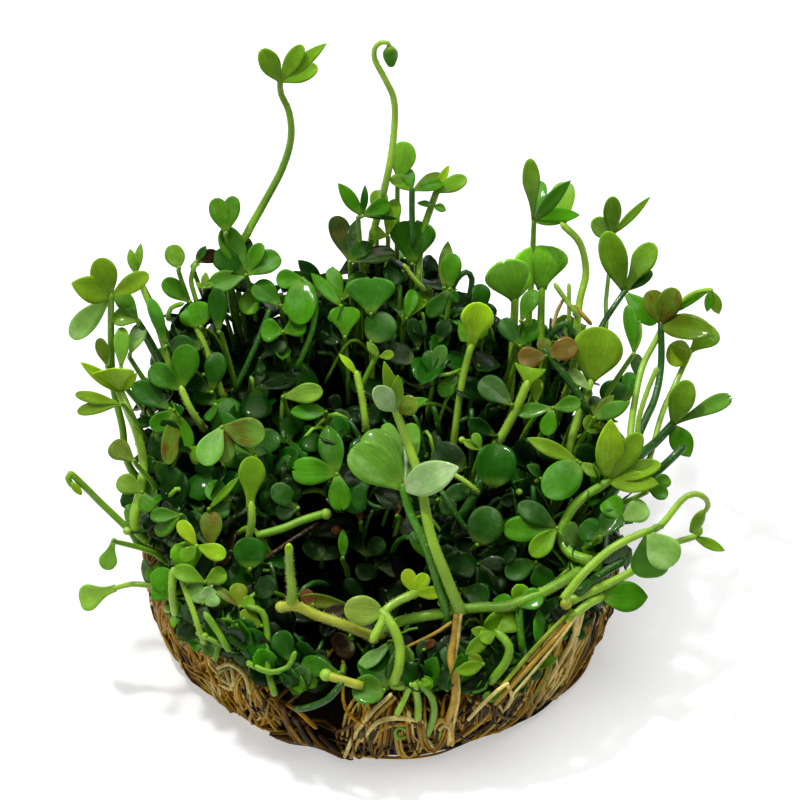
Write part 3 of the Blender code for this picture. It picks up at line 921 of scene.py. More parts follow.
# How red a leaflet's patches are (above 0), or how strong its painted pale sheen patches are (below 0).
def blushOrSheenOf(colour):
    fixed = {"red": 0.75, "rust": 0.35, "plum": 0.4, "cap": 0.7, "gloss": 0.25, "silver": -0.3,
             "pale": -0.65, "olive": 0.15, "lime": 0.0}
    return fixed.get(colour, random.choice((0.0, 0.0, 0.0, -0.06)))


def halfWidths(facts):
    return [inMm(width) / 2 for width in facts["widths"]]


def evenly(wide, slim, count):
    return [wide + (slim - wide) * i / (count - 1) for i in range(count)]


stemBorn = ("frontTall", "lowFork", "lowWide", "limeCross", "lowRound")     # fronds that leave another stem
singleLeaves = ("rightFan", "leftFan", "limeSpoon", "bigSpoon", "leftFlare", "farLeftSpoon")


def makeFrond(name, facts):
    stalkTint, leafTint = facts["tints"]
    points = [atDepth(*spot) for spot in facts["stalk"]]
    hub = points[-1]
    if name not in stemBorn:
        points = rooted(points)
    route = smoothRoute(points, evenly(*halfWidths(facts), len(points)), 0.9)
    keepRouteClear(route[len(route) // 5:], 0.15)
    heap = newHeap()
    for kind, px, py, depth, width, *own in facts["leaflets"]:
        tip = atDepth(px, py, depth)
        wideMm = inMm(width)
        colour = own[0] if own else leafTint
        lean = Vector((random.uniform(-0.15, 0.15), random.uniform(-0.1, 0.1), 0))
        addBlade(heap, fineBlades, kind, hub, tip, wideMm, faceUp + lean, leafTones[colour],
                 cup=random.uniform(0.03, 0.12), curl=random.uniform(0.15, 0.5),
                 fold=random.choice((0.0, 0.02, 0.05)), blush=blushOrSheenOf(colour))
        for share in (0.3, 0.55, 0.8):
            keepClear(hub.lerp(tip, share), wideMm * 0.42)
    node = facts["nodes"]
    leafOnly = node.endswith("_leaf")
    setPiece(meshOf(name + "Leaf", heap, leafSkin), "leaf", node if leafOnly else node + "_leaf")
    along = atDepth(*facts["leaflets"][0][1:4]) if name in singleLeaves else None
    stalk = drawTubes(name + "Stalk", [taperedEnd(route, along)], stalkTones[stalkTint], stalkSkin)
    setPiece(stalk, "stalk", *([] if leafOnly else [node + "_stalk"]))
    if "hairs" in facts:
        fuzz = newHeap()
        addHairs(fuzz, route, facts["hairs"], hairLengths["fronds"])
        setPiece(meshOf(name + "Hairs", fuzz, stalkSkin), "stalk")


random.seed(11)
for name, facts in fronds.items():
    makeFrond(name, facts)
print("fronds that stand clear made")

# Young fronds that are still coiled and the upright shoot end in a plump bud: hub, tip, width and tint.
coils = {
    "tallFiddlehead": {
        "node": "tall_fiddlehead", "tint": "lime", "widths": (9, 4), "hairs": 14, "slot": "stalk",
        "stalk": [(366, 262, 24), (376, 222, 24.5), (388, 173, 26), (394, 132, 29), (394, 100, 31),
                  (385, 79, 32), (375, 60, 33), (375, 48, 33.5), (382, 42, 33.6), (388, 43, 33.5),
                  (391, 50, 33.3)],
        "bud": ((390, 46, 33.3), (391, 64, 33), 15, "mid"),
    },
    "lowFiddlehead": {
        "node": "low_fiddlehead", "tint": "lime", "widths": (9, 4.5), "hairs": 12, "slot": "stalk",
        "stalk": [(563, 599, -19.5), (585, 572, -17), (611, 549, -14), (640, 534, -12), (660, 526, -11),
                  (682, 500, -8.5), (695, 494, -8), (705, 498, -8), (708, 506, -8), (703, 514, -8)],
        "bud": ((704, 510, -8), (692, 531, -8.5), 12, "fresh"),
    },
    "leftHook": {
        "node": "left_hook", "tint": "fresh", "widths": (8, 6), "hairs": 10, "slot": "stalk",
        "stalk": [(130, 531, -6), (100, 502, -4), (76, 478, -3), (70, 474, -3), (68, 478, -3.2),
                  (71, 484, -3.6), (76, 488, -3.8)],
        "bud": ((71, 482, -3.6), (81, 494, -4.2), 8, "lime"),
    },
    "uprightShoot": {
        "node": "upright_shoot", "tint": "lime", "widths": (10, 7), "hairs": 44, "slot": "runner",
        "stalk": [(291, 606, -20), (292, 590, -19.8), (290, 572, -19.5), (289, 552, -19)],
        "bud": ((289, 556, -19.1), (289, 544, -18.9), 8, "lime"),
    },
}


def makeCoil(name, facts):
    points = [atDepth(*spot) for spot in facts["stalk"]]
    if name in ("tallFiddlehead", "leftHook"):      # the others leave the creeping stem
        points = rooted(points)
    route = smoothRoute(points, evenly(*halfWidths(facts), len(points)), 0.5)
    keepRouteClear(route[len(route) // 6:], 0.2)
    stalk = drawTubes(name + "Stalk", [route], stalkTones[facts["tint"]], stalkSkin)
    hub, tip, width, colour = facts["bud"]
    wideMm = inMm(width)
    heap = newHeap()
    addBlade(heap, fineBlades, "round", atDepth(*hub), atDepth(*tip), wideMm, faceUp, leafTones[colour],
             cup=-0.2, curl=0.5, wave=0.0, thickness=wideMm * 0.6)
    hairLength = hairLengths.get(name, hairLengths["coils"])
    addHairs(heap, route, facts["hairs"], hairLength)
    bud = meshOf(name + "Bud", heap, leafSkin)
    whole = joinPieces([stalk, bud], name)
    setPiece(whole, facts["slot"], facts["node"])


for name, facts in coils.items():
    makeCoil(name, facts)

# The creeping stem along the front and its knobs: x, y, depth and a knob's size.
runner = {
    "left": [(281, 607, -20), (296, 606, -20.2), (316, 615, -20.5), (342, 624, -21), (364, 633, -21.4),
             (375, 637, -21.5)],
    "right": [(374, 637, -21.5), (384, 630, -21.2), (399, 622, -20.8), (419, 617, -20.5), (438, 614, -20.3),
              (457, 610, -20), (483, 607, -19.8), (508, 606, -19.5), (543, 592, -18), (575, 574, -15),
              (592, 560, -12)],
    "width": 10,
    "hairs": 40,
    "knobs": [(281, 607, -20, 8), (293, 604, -20, 9), (374, 638, -21.6, 9), (381, 633, -21.3, 9),
              (566, 604, -18.8, 8)],
}


# A knob is a short round swelling that lies across.
def knobRoute(point, radius):
    aside = Vector((1, 0, 0)) * radius
    return [(point + aside * share, radius * max(0.12, math.sqrt(1 - share * share)))
            for share in (-1, -0.85, -0.5, 0, 0.5, 0.85, 1)]


def makeRunner():
    pieces = []
    fuzz = newHeap()
    radius = inMm(runner["width"]) / 2
    for side, colour in (("left", "runner"), ("right", "fresh")):
        points = [atDepth(*spot) for spot in runner[side]]
        route = smoothRoute(points, [radius] * len(points), 0.6)
        keepRouteClear(route, 0.2)
        pieces.append(drawTubes("runner" + side, [route], stalkTones[colour], stalkSkin, 3))
        addHairs(fuzz, route, runner["hairs"], hairLengths[side])
    knobs = [knobRoute(atDepth(*spot), inMm(size) * 0.72) for *spot, size in runner["knobs"]]
    pieces.append(drawTubes("runnerKnobs", knobs, stalkTones["runner"], stalkSkin, 3))
    pieces.append(meshOf("runnerHairs", fuzz, stalkSkin))
    setPiece(joinPieces(pieces, "frontRunner"), "runner", "front_runner")


makeRunner()
print("coiled fronds and runner made")

# Fronds in the mass, read from the photo: the hub's x and y in pixels and its lift above the
# canopy in mm, a tint, then leaflets with a kind, the tip's x and y, a width in pixels and maybe a tint.
smallFronds = {
    "backPair": [(362, 216, 8), "mid", ("pointed", 338, 183, 15), ("pointed", 365, 185, 8, "deep"),
                 ("clover", 389, 203, 18), ("pointed", 398, 219, 5, "dark")],
    "backLime": [(387, 236, 5), "fresh", ("clover", 396, 199, 17), ("clover", 369, 232, 15)],
    "behindStalk": [(378, 216, 0), "fresh", ("clover", 379, 190, 19)],
    "backPale": [(399, 181, 8), "bright", ("clover", 405, 141, 26)],
    "backTop": [(412, 191, 8), "mid", ("clover", 391, 177, 16, "fresh"), ("clover", 405, 168, 14),
                ("clover", 443, 184, 13), ("clover", 441, 174, 12, "red")],
    "backRight": [(436, 193, 6), "fresh", ("clover", 467, 178, 17), ("pointed", 449, 165, 9, "lime")],
    "backStar": [(434, 206, 6), "mid", ("pointed", 417, 203, 7), ("pointed", 446, 211, 9)],
    "backHeart": [(412, 264, 2), "plain", ("heart", 414, 220, 46)],
    "oliveEars": [(350, 262, 3), "mid", ("clover", 335, 216, 22, "rust"), ("pointed", 357, 219, 16, "rust"),
                  ("clover", 395, 253, 19, "rust"), ("clover", 370, 243, 17, "deep")],
    "earsBelow": [(342, 300, 1), "mid", ("clover", 366, 274, 18, "plain"), ("clover", 330, 268, 16)],
    "widePale": [(371, 314, 2), "plain", ("heart", 371, 277, 49)],
    "darkSpoon": [(371, 342, 1), "deep", ("round", 389, 314, 34, "deep")],
    "smallSpoon": [(345, 337, 1), "mid", ("fan", 345, 307, 31)],
    "curlPair": [(406, 319, 0), "mid", ("clover", 414, 290, 15), ("clover", 431, 288, 15, "olive")],
    "darkPair": [(418, 349, -1), "dark", ("clover", 411, 318, 16), ("clover", 423, 320, 12, "deep")],
    "dimLeaf": [(440, 342, -1), "dark", ("clover", 447, 320, 18)],
    "dimBroad": [(414, 362, -2), "dark", ("round", 386, 348, 24)],
    "boomerang": [(379, 357, 2), "fresh", ("pointed", 367, 342, 9), ("clover", 394, 354, 10)],
    "twinSpoon": [(431, 380, 1), "deep", ("spoon", 431, 350, 17), ("spoon", 444, 345, 16, "plain")],
    "glareLeaf": [(459, 374, 0), "plain", ("clover", 440, 396, 18)],
    "midFunnel": [(481, 450, 2), "fresh", ("pointed", 462, 440, 9), ("clover", 474, 433, 10)],
    "dimSlant": [(496, 436, 0), "dark", ("clover", 468, 421, 17)],
    "behindPale": [(466, 468, -2), "dark", ("round", 433, 449, 32)],
    "slimUpright": [(343, 558, -2), "mid", ("pointed", 343, 529, 10)],
    "stemLeaf": [(431, 561, -2), "mid", ("clover", 412, 532, 17)],
    "rimPair": [(181, 515, 1), "mid", ("clover", 150, 516, 15), ("clover", 156, 534, 17)],
    "greyPair": [(211, 548, 0), "silver", ("clover", 188, 512, 20, "deep"), ("clover", 211, 511, 22, "red")],
    "leftSheen": [(174, 410, 1), "mid", ("clover", 152, 430, 20), ("clover", 187, 452, 22),
                  ("clover", 168, 465, 19, "red")],
    "stemBlade": [(209, 509, 1), "fresh", ("pointed", 240, 476, 8)],
    "foldedLong": [(341, 306, 2), "mid", ("pointed", 311, 273, 14)],
    "darkPoint": [(322, 283, 1), "dark", ("pointed", 298, 260, 15), ("pointed", 293, 271, 8)],
    "glossCurl": [(303, 279, 2), "mid", ("round", 300, 325, 32), ("clover", 276, 280, 20)],
    "flatTop": [(281, 306, 1), "mid", ("clover", 254, 284, 24, "plain"), ("clover", 293, 309, 16)],
    "backLeftStar": [(246, 275, 2), "mid", ("clover", 243, 236, 20, "dark"), ("clover", 214, 253, 24, "deep"),
                     ("clover", 209, 287, 22), ("clover", 280, 256, 24), ("clover", 224, 227, 25),
                     ("clover", 262, 243, 16)],
    "backLeftPair": [(226, 233, 6), "mid", ("clover", 215, 198, 20), ("clover", 234, 196, 18)],
    "bellDrop": [(283, 332, 1), "mid", ("clover", 306, 324, 20), ("clover", 261, 330, 24)],
    "leftBud": [(204, 288, 3), "fresh", ("pointed", 206, 272, 8), ("pointed", 196, 283, 6),
                ("pointed", 214, 283, 6)],
    "rustLeaf": [(196, 262, 4), "mid", ("clover", 218, 253, 15, "brown"), ("pointed", 206, 246, 9, "deep")],
    "roundTop": [(179, 268, 6), "fresh", ("round", 171, 245, 20)],
    "spotted": [(190, 302, 2), "mid", ("clover", 163, 280, 19)],
    "brightRound": [(201, 327, 2), "mid", ("round", 192, 303, 33)],
    "saddle": [(181, 390, 2), "plain", ("clover", 150, 367, 24), ("clover", 188, 344, 28)],
    "leftPoints": [(136, 274, 6), "fresh", ("pointed", 130, 249, 10), ("pointed", 141, 243, 9)],
    "leftFork": [(121, 404, 3), "fresh", ("clover", 75, 394, 12), ("clover", 77, 412, 13)],
    "leftSmall": [(107, 366, 2), "fresh", ("clover", 99, 338, 13)],
    "leftUp": [(121, 368, 3), "spring", ("clover", 122, 327, 16)],
    "leftUpSheen": [(130, 354, 3), "mid", ("clover", 142, 324, 16, "silver")],
    "leftLobes": [(138, 321, 5), "mid", ("clover", 117, 291, 18), ("clover", 113, 317, 20, "fresh")],
    "leftStemLeaf": [(166, 346, 3), "mid", ("clover", 149, 298, 14)],
    "spotOval": [(219, 332, 3), "deep", ("clover", 217, 288, 20)],
    "darkLeft": [(202, 348, 1), "dark", ("clover", 174, 320, 24), ("clover", 170, 346, 22, "deep")],
    "darkLeftLow": [(212, 392, 0), "deep", ("clover", 176, 372, 24, "dark"), ("clover", 218, 352, 22)],
    "leftOval": [(170, 409, 1), "deep", ("clover", 133, 384, 24)],
    "leftDark": [(154, 430, 0), "dark", ("round", 180, 436, 28), ("clover", 160, 458, 20)],
    "leftRed": [(134, 461, 1), "red", ("clover", 111, 444, 22)],
    "leftMid": [(142, 492, 1), "fresh", ("clover", 117, 480, 21), ("clover", 150, 512, 18, "mid")],
    "dropSpoon": [(114, 540, 1), "fresh", ("spoon", 106, 570, 18)],
    "sparkPair": [(197, 546, 2), "lime", ("clover", 179, 521, 15), ("clover", 226, 556, 17),
                  ("clover", 182, 561, 16, "fresh")],
    "redCap": [(222, 427, 4), "olive", ("clover", 265, 436, 30, "cap"), ("clover", 203, 465, 26, "silver"),
               ("clover", 226, 463, 22, "cap")],
    "underCapLeft": [(256, 457, 0), "mid", ("clover", 277, 432, 24, "deep"), ("clover", 234, 436, 22),
                     ("clover", 224, 463, 17, "deep"), ("clover", 222, 412, 16, "deep")],
    "midSpoon": [(250, 510, 2), "fresh", ("spoon", 252, 456, 27)],
    "ribbed": [(250, 569, 1), "deep", ("round", 249, 537, 33, "deep")],
    "triad": [(337, 474, 2), "mid", ("pointed", 327, 425, 25, "plain"), ("notched", 292, 470, 28),
              ("notched", 342, 511, 22)],
    "glossLobe": [(298, 508, 0), "deep", ("clover", 272, 486, 22), ("clover", 276, 514, 18, "dark")],
    "brightCap": [(283, 397, 1), "fresh", ("clover", 323, 391, 20)],
    "underCap": [(326, 412, 0), "mid", ("pointed", 290, 412, 18)],
    "slimTip": [(357, 375, 2), "lime", ("pointed", 339, 354, 8)],
    "rightPlum": [(546, 356, 2), "plum", ("clover", 518, 360, 24, "plum"), ("clover", 543, 338, 15, "red"),
                  ("clover", 577, 345, 24, "plum")],
    "funnel": [(527, 388, 2), "fresh", ("funnel", 532, 368, 32)],
    "edgeDown": [(512, 405, 1), "deep", ("clover", 480, 380, 26)],
    "darkDisc": [(493, 488, 1), "deep", ("round", 497, 444, 40)],
    "darkOval": [(477, 545, 1), "deep", ("round", 492, 507, 35)],
    "lowStar": [(557, 528, 1), "fresh", ("clover", 503, 530, 26, "mid"), ("clover", 531, 556, 21, "fresh"),
                ("clover", 518, 504, 21, "deep")],
    "glossBack": [(580, 463, 1), "mid", ("round", 545, 496, 36), ("pointed", 600, 477, 12, "fresh")],
    "thinTop": [(577, 461, 1), "fresh", ("pointed", 527, 438, 16)],
    "slopeStar": [(553, 408, 1), "mid", ("clover", 517, 413, 16), ("clover", 546, 436, 17),
                  ("clover", 581, 403, 17)],
    "leanLeaf": [(450, 289, 4), "mid", ("clover", 452, 253, 21), ("clover", 428, 317, 18, "deep"),
                 ("pointed", 458, 303, 10, "deep")],
    "leanBack": [(444, 288, 1), "olive", ("pointed", 448, 241, 15, "red")],
    "behindFan": [(521, 321, 2), "mid", ("clover", 536, 290, 18)],
    "fanBase": [(520, 346, 0), "plain", ("clover", 502, 319, 19, "deep"), ("clover", 537, 326, 16)],
    "smallSheen": [(590, 390, 0), "silver", ("clover", 568, 370, 14)],
    "smallSpark": [(536, 403, 0), "fresh", ("clover", 537, 379, 15)],
    "crownUnder": [(634, 354, 3), "mid", ("clover", 628, 305, 15), ("pointed", 640, 320, 9, "fresh")],
    "crownLow": [(638, 380, -9), "deep", ("clover", 636, 354, 13), ("clover", 616, 390, 22, "dark")],
    "underSpoon": [(628, 402, -7), "deep", ("round", 601, 386, 26), ("clover", 630, 372, 16, "plain")],
    "ovalLeaf": [(484, 311, 2), "deep", ("clover", 478, 284, 19)],
    "roundRight": [(684, 341, -7), "lime", ("round", 672, 366, 24)],
    "rightCup": [(690, 352, -8), "fresh", ("fan", 715, 328, 28)],
    "rightSmall": [(594, 418, 3), "mid", ("pointed", 630, 403, 17), ("pointed", 614, 395, 12, "red")],
    "rightLobes": [(648, 489, 0), "mid", ("clover", 670, 479, 15), ("clover", 668, 496, 15)],
    "rightGrey": [(622, 520, 0), "silver", ("clover", 648, 507, 25), ("clover", 606, 500, 24, "mid")],
    "rightDeep": [(600, 537, 0), "deep", ("clover", 618, 512, 24), ("round", 581, 524, 26)],
    "frontBright": [(383, 612, 3), "spring", ("round", 344, 609, 29)],
    "frontTrio": [(414, 594, 3), "lime", ("clover", 406, 569, 15), ("clover", 427, 574, 15),
                  ("clover", 443, 592, 13)],
    "frontGreen": [(339, 673, 1), "plain", ("clover", 302, 662, 20)],
    "frontOval": [(291, 662, 0), "deep", ("clover", 279, 631, 23)],
    "frontGrey": [(391, 645, 0), "silver", ("clover", 359, 668, 15), ("pointed", 400, 662, 10, "mid")],
    "frontRound": [(384, 690, -1), "deep", ("round", 369, 655, 37), ("round", 352, 693, 30, "mid")],
    "frontRust": [(352, 606, -3), "brown", ("clover", 322, 616, 15), ("clover", 300, 598, 14, "red")],
    "runnerPair": [(517, 606, 1), "mid", ("pointed", 493, 600, 16), ("clover", 543, 596, 22)],
    "runnerDark": [(461, 589, 0), "deep", ("clover", 489, 600, 24)],
    "frontMid": [(496, 633, 1), "fresh", ("clover", 520, 618, 20), ("clover", 480, 640, 16)],
    "frontFold": [(489, 635, 1), "fresh", ("pointed", 465, 655, 15), ("pointed", 471, 630, 12)],
    "frontEdge": [(483, 664, 1), "fresh", ("pointed", 455, 672, 14), ("pointed", 468, 656, 12)],
    "bladeThin": [(536, 672, 1), "fresh", ("pointed", 558, 657, 9)],
    "frontCap": [(413, 684, 0), "fresh", ("pointed", 391, 687, 10), ("pointed", 432, 682, 10)],
    "innerPair": [(536, 562, -1), "deep", ("clover", 505, 575, 22), ("clover", 545, 588, 24)],
    "rimLeft": [(168, 600, 1), "mid", ("clover", 158, 568, 24), ("clover", 152, 590, 16)],
    "rimBright": [(205, 582, 1), "fresh", ("clover", 173, 569, 18), ("clover", 226, 572, 18)],
    "rimSilver": [(203, 603, 0), "silver", ("round", 190, 583, 19), ("round", 217, 592, 22)],
    "rimOlive": [(240, 607, 0), "olive", ("clover", 237, 583, 18), ("clover", 254, 600, 14, "fresh"),
                 ("pointed", 208, 584, 10, "red")],
    "rimLow": [(262, 626, 0), "fresh", ("clover", 240, 612, 16), ("pointed", 246, 622, 10)],
    "hubLeft": [(230, 500, 0), "mid", ("clover", 206, 486, 22), ("clover", 214, 516, 20, "deep")],
    "hollowA": [(322, 560, -5), "dark", ("round", 306, 540, 24), ("clover", 338, 548, 18)],
    "hollowB": [(366, 556, -5), "dark", ("clover", 384, 540, 20), ("clover", 350, 530, 18)],
    "hollowC": [(438, 500, -2), "deep", ("clover", 455, 512, 18), ("clover", 470, 488, 18)],
    "hollowD": [(352, 640, -5), "brown", ("round", 335, 652, 30)],
    "emberLeft": [(313, 605, -2), "ember", ("round", 303, 590, 14)],
    "emberStem": [(361, 522, -2), "ember", ("pointed", 357, 500, 7)],
    "emberTop": [(397, 516, -1), "ember", ("pointed", 399, 503, 6)],
    "emberDark": [(342, 538, -3), "ember", ("clover", 333, 526, 9)],
    "emberLow": [(424, 650, 0), "ember", ("clover", 435, 640, 8)],
    "emberBack": [(478, 366, -1), "ember", ("clover", 470, 358, 10)],
}
# Stalks that show between the fronds: a tint, a width in pixels, then x, y and the lift. Without a lift they
# hang over the wall.
strayStalks = {
    "arc": ("mid", 6, [(303, 280, 2), (313, 290, 2), (316, 308, 1), (311, 334, 0), (298, 366, -3)]),
    "backLeft": ("dark", 6, [(269, 312, 1), (256, 345, 0), (236, 389, -3)]),
    "left": ("lime", 6, [(143, 289, 4), (158, 328, 2), (170, 369, 0)]),
    "leftSlant": ("lime", 7, [(193, 318, 2), (208, 355, 0), (222, 394, -2)]),
    "leftBow": ("fresh", 5, [(196, 300, 2), (191, 280, 3), (196, 263, 4)]),
    "slim": ("lime", 7, [(357, 375, 2), (362, 398, 1), (366, 428, -1)]),
    "mid": ("lime", 9, [(526, 386, 2), (514, 414, 0), (497, 444, -2)]),
    "spoon": ("lime", 8, [(251, 505, 2), (252, 520, 1), (249, 540, -2)]),
    "cupStem": ("lime", 6, [(690, 352, -8), (674, 387, -8), (662, 414, -7), (649, 461, -5)]),
    "thinRight": ("lime", 5, [(656, 370, 1), (647, 392, 0), (639, 418, -1), (637, 436, -2)]),
    "plumStem": ("dark", 8, [(546, 352, 2), (562, 372, 1), (577, 392, 0), (587, 410, -1)]),
    "arcRight": ("dark", 6, [(549, 340, 1), (557, 327, 3), (568, 324, 3), (574, 336, 2)]),
    "brokenShoot": ("lime", 5, [(556, 286, 6), (566, 300, 5), (576, 313, 4)]),
    "brokenStub": ("lime", 4, [(569, 286, 6), (569, 300, 5), (569, 320, 3)]),
    "backTopStem": ("dark", 6, [(412, 191, 8), (412, 215, 6), (413, 242, 4)]),
    "backRightStem": ("fresh", 7, [(436, 193, 6), (430, 210, 5), (424, 228, 4), (420, 250, 2),
                                   (418, 284, 0)]),
    "backThin": ("lime", 4, [(405, 266, 3), (413, 277, 2), (423, 288, 1)]),
    "leftDarkStem": ("dark", 6, [(138, 321, 4), (150, 340, 2), (162, 362, 0)]),
    "leftCurl": ("fresh", 5, [(181, 304, 5), (171, 308, 4), (168, 318, 3)]),
    "knobStem": ("dark", 7, [(340, 686, 1), (328, 699, 0), (312, 707, -1), (297, 710, -2)]),
    "leftBow2": ("fresh", 6, [(294, 655, 1), (288, 667, 0), (270, 672, 0), (250, 664, 0)]),
    "leftBlade": ("fresh", 7, [(207, 616, 1), (217, 630, 0), (228, 648, -1)]),
    "darkMidStem": ("dark", 6, [(438, 486, 0), (452, 508, 0), (468, 532, -2)]),
    "lightMidStem": ("lime", 5, [(455, 475, 1), (466, 482, 1), (478, 492, 0)]),
    "dimBow": ("dark", 4, [(361, 495, -1), (374, 506, -1), (395, 507, -1)]),
    "thinPale": ("fresh", 4, [(439, 375, 1), (449, 374, 1), (460, 370, 0)]),
    "boomerangStem": ("fresh", 6, [(376, 357, 1), (369, 371, 0), (361, 388, -2)]),
    "discStem": ("dark", 10, [(480, 484, 0), (472, 499, -1), (461, 517, -3)]),
    "stripedStem": ("dark", 8, [(682, 448, 0), (670, 460, 0), (650, 478, -2)]),
    "lowStriped": ("dark", 9, [(624, 564, 3), (600, 578, 2), (579, 591, 0)]),
    "midRunner": ("fresh", 8, [(256, 536, 0), (284, 528, 0), (303, 520, 0), (326, 513, 0)]),
    "bareRoot": ("brown", 4, [(319, 522, -1), (290, 541, -1), (263, 560, -2)]),
    "saddleStem": ("lime", 7, [(182, 390, 2), (190, 408, 1), (203, 428, -2)]),
    "frontPetiole": ("lime", 9, [(374, 637, 3), (382, 622, 3), (386, 610, 3), (400, 600, 3), (414, 594, 3)]),
    "frontArch": ("lime", 10, [(384, 614, 3), (394, 629, 3), (400, 647, 2), (399, 667, 1), (394, 684, -1)]),
    "frontDrop": ("mid", 8, [(519, 602, 1), (520, 630, 0), (523, 652, -2)]),
    "frontBend": ("fresh", 9, [(499, 634, 1), (509, 646, 1), (506, 662, 0), (492, 680, -2)]),
    "smallRunner": ("runner", 9, [(322, 674, 1), (342, 680, 1), (362, 686, 0)]),
    "leftUpright": ("lime", 8, [(173, 573, 1), (172, 590, 0), (174, 612, -2)]),
    "leftSlim": ("lime", 6, [(182, 581, 1), (192, 608, 0), (203, 640, -2)]),
    "leftLong": ("fresh", 7, [(250, 607, 1), (262, 612, 1), (267, 630, 0), (268, 668, -1), (274, 692, -2)]),
    "leftRunner": ("fresh", 5, [(198, 634, -1), (212, 640, -1), (225, 646, -2)]),
    "bladeStem": ("fresh", 4, [(536, 669, 1), (528, 684, 1), (513, 705, 1)]),
    "footA": ("lime", 6, [(410, 686, 0), (404, 700), (397, 714)]),
    "footB": ("lime", 7, [(415, 686, 0), (418, 702), (418, 718)]),
    "footC": ("fresh", 7, [(421, 685, 0), (432, 698), (434, 714), (428, 733)]),
    "footCurl": ("fresh", 5, [(405, 729), (399, 726), (394, 731), (398, 738), (405, 736)]),
    "hookStem": ("dark", 6, [(451, 292, 2), (457, 279, 3), (466, 272, 3), (472, 279, 2), (469, 299, 0)]),
}
# Small knobs on them: x, y, lift and size.
smallKnobs = [(326, 675, 1, 9), (326, 514, 0, 8), (127, 531, 0, 6), (462, 440, 0, 5), (475, 436, 0, 5),
              (519, 492, 0, 5), (205, 636, -1, 5), (441, 603, 2, 5), (166, 611, -1, 6)]


# These small fronds stand on one of the stalks above.
ownStalks = ("rightCup", "roundRight", "slimTip", "funnel", "midSpoon", "saddle", "frontTrio", "frontBright",
             "frontCap", "frontMid", "boomerang", "darkDisc", "bladeThin", "backTop", "backRight", "backStar")
lyingStalks = ("midRunner", "bareRoot", "smallRunner")      # the others go down into the mass


# A stalk that bows up from the mat to a hub, and is straight for a little under it.
grownStalk = {"inward": -0.12, "raised": 0.08, "straight": 1.6, "straightShare": 0.25, "step": 2.2}


def grownRoute(hub, facing, thick, slim):
    foot = footUnder(hub)
    span = hub - foot
    middle = foot + span * 0.5 + Vector((span.x, span.y, 0)) * grownStalk["inward"]
    middle = middle + Vector((0, 0, span.z * grownStalk["raised"]))
    under = hub - facing * min(grownStalk["straight"], span.length * grownStalk["straightShare"])
    radii = [thick, (thick + slim) / 2, slim, slim]
    return taperedEnd(smoothRoute([foot, middle, under, hub], radii, grownStalk["step"]))


# A direction tipped a little at random to the sides and to the front or back.
def tipped(way, aside, ahead):
    return (way + Vector((random.gauss(0, aside), random.gauss(0, ahead), 0))).normalized()


def makeSmallFronds():
    heap = newHeap()
    stems = {"lime": [], "fresh": [], "dark": []}
    stemTints = {"lime": "lime", "dark": "dark", "brown": "dark"}
    for name, (spot, tint, *leaflets) in smallFronds.items():
        hub = onCanopy(*spot)
        facing = tipped(faceUp, 0.16, 0.12)
        for kind, px, py, width, *own in leaflets:
            tip = onPlane(px, py, hub, tipped(facing, 0.12, 0.12))
            wideMm = inMm(width)
            colour = own[0] if own else tint
            # Each is a little darker than its tone, at random, as painted shade in the mass.
            shade = [c * random.uniform(0.74, 0.96) for c in leafTones[colour]]
            addBlade(heap, fineBlades, kind, hub, tip, wideMm, facing, shade, cup=random.uniform(0.0, 0.16),
                     curl=random.uniform(0.0, 0.7), fold=random.choice((0.0, 0.02, 0.06)), wave=0.05,
                     blush=blushOrSheenOf(colour))
            for share in (0.35, 0.7):
                keepClear(hub.lerp(tip, share), wideMm * 0.4, 0.2)
        if name not in ownStalks:
            stems[stemTints.get(tint, "fresh")].append(grownRoute(hub, facing, 0.42, 0.3))
    setPiece(meshOf("smallFrondLeaves", heap, leafSkin), "leaf")
    return [drawTubes("stems" + tint, routes, stalkTones[tint], stalkSkin, 1)
            for tint, routes in stems.items()]


def makeStrayStalks():
    tubes = []
    fuzz = newHeap()
    for name, (tint, width, spots) in strayStalks.items():
        points = [onCanopy(*spot) if len(spot) == 3 else onWall(*spot) for spot in spots]
        lying = name in lyingStalks
        if not lying:
            points.append(points[-1] + viewAhead * 4)
        radius = inMm(width) / 2
        route = smoothRoute(points, [radius] * len(points), 0.8)
        keepRouteClear(route[:len(route) if lying else len(route) * 3 // 4], 0.0, 0.3)
        route = route if lying else taperedEnd(route[::-1])
        tubes.append(drawTubes(name + "Stray", [route], stalkTones[tint], stalkSkin))
        if tint == "lime":
            addHairs(fuzz, route, 12, hairLengths["strays"])
    knobs = [knobRoute(onCanopy(px, py, lift), inMm(size) * 0.7) for px, py, lift, size in smallKnobs]
    tubes.append(drawTubes("smallKnobs", knobs, stalkTones["lime"], stalkSkin))
    tubes.append(meshOf("strayHairs", fuzz, stalkSkin))
    return tubes


random.seed(23)
setPiece(joinPieces(makeSmallFronds() + makeStrayStalks(), "smallFrondStalks"), "stalk")
print("small fronds from the photo made")

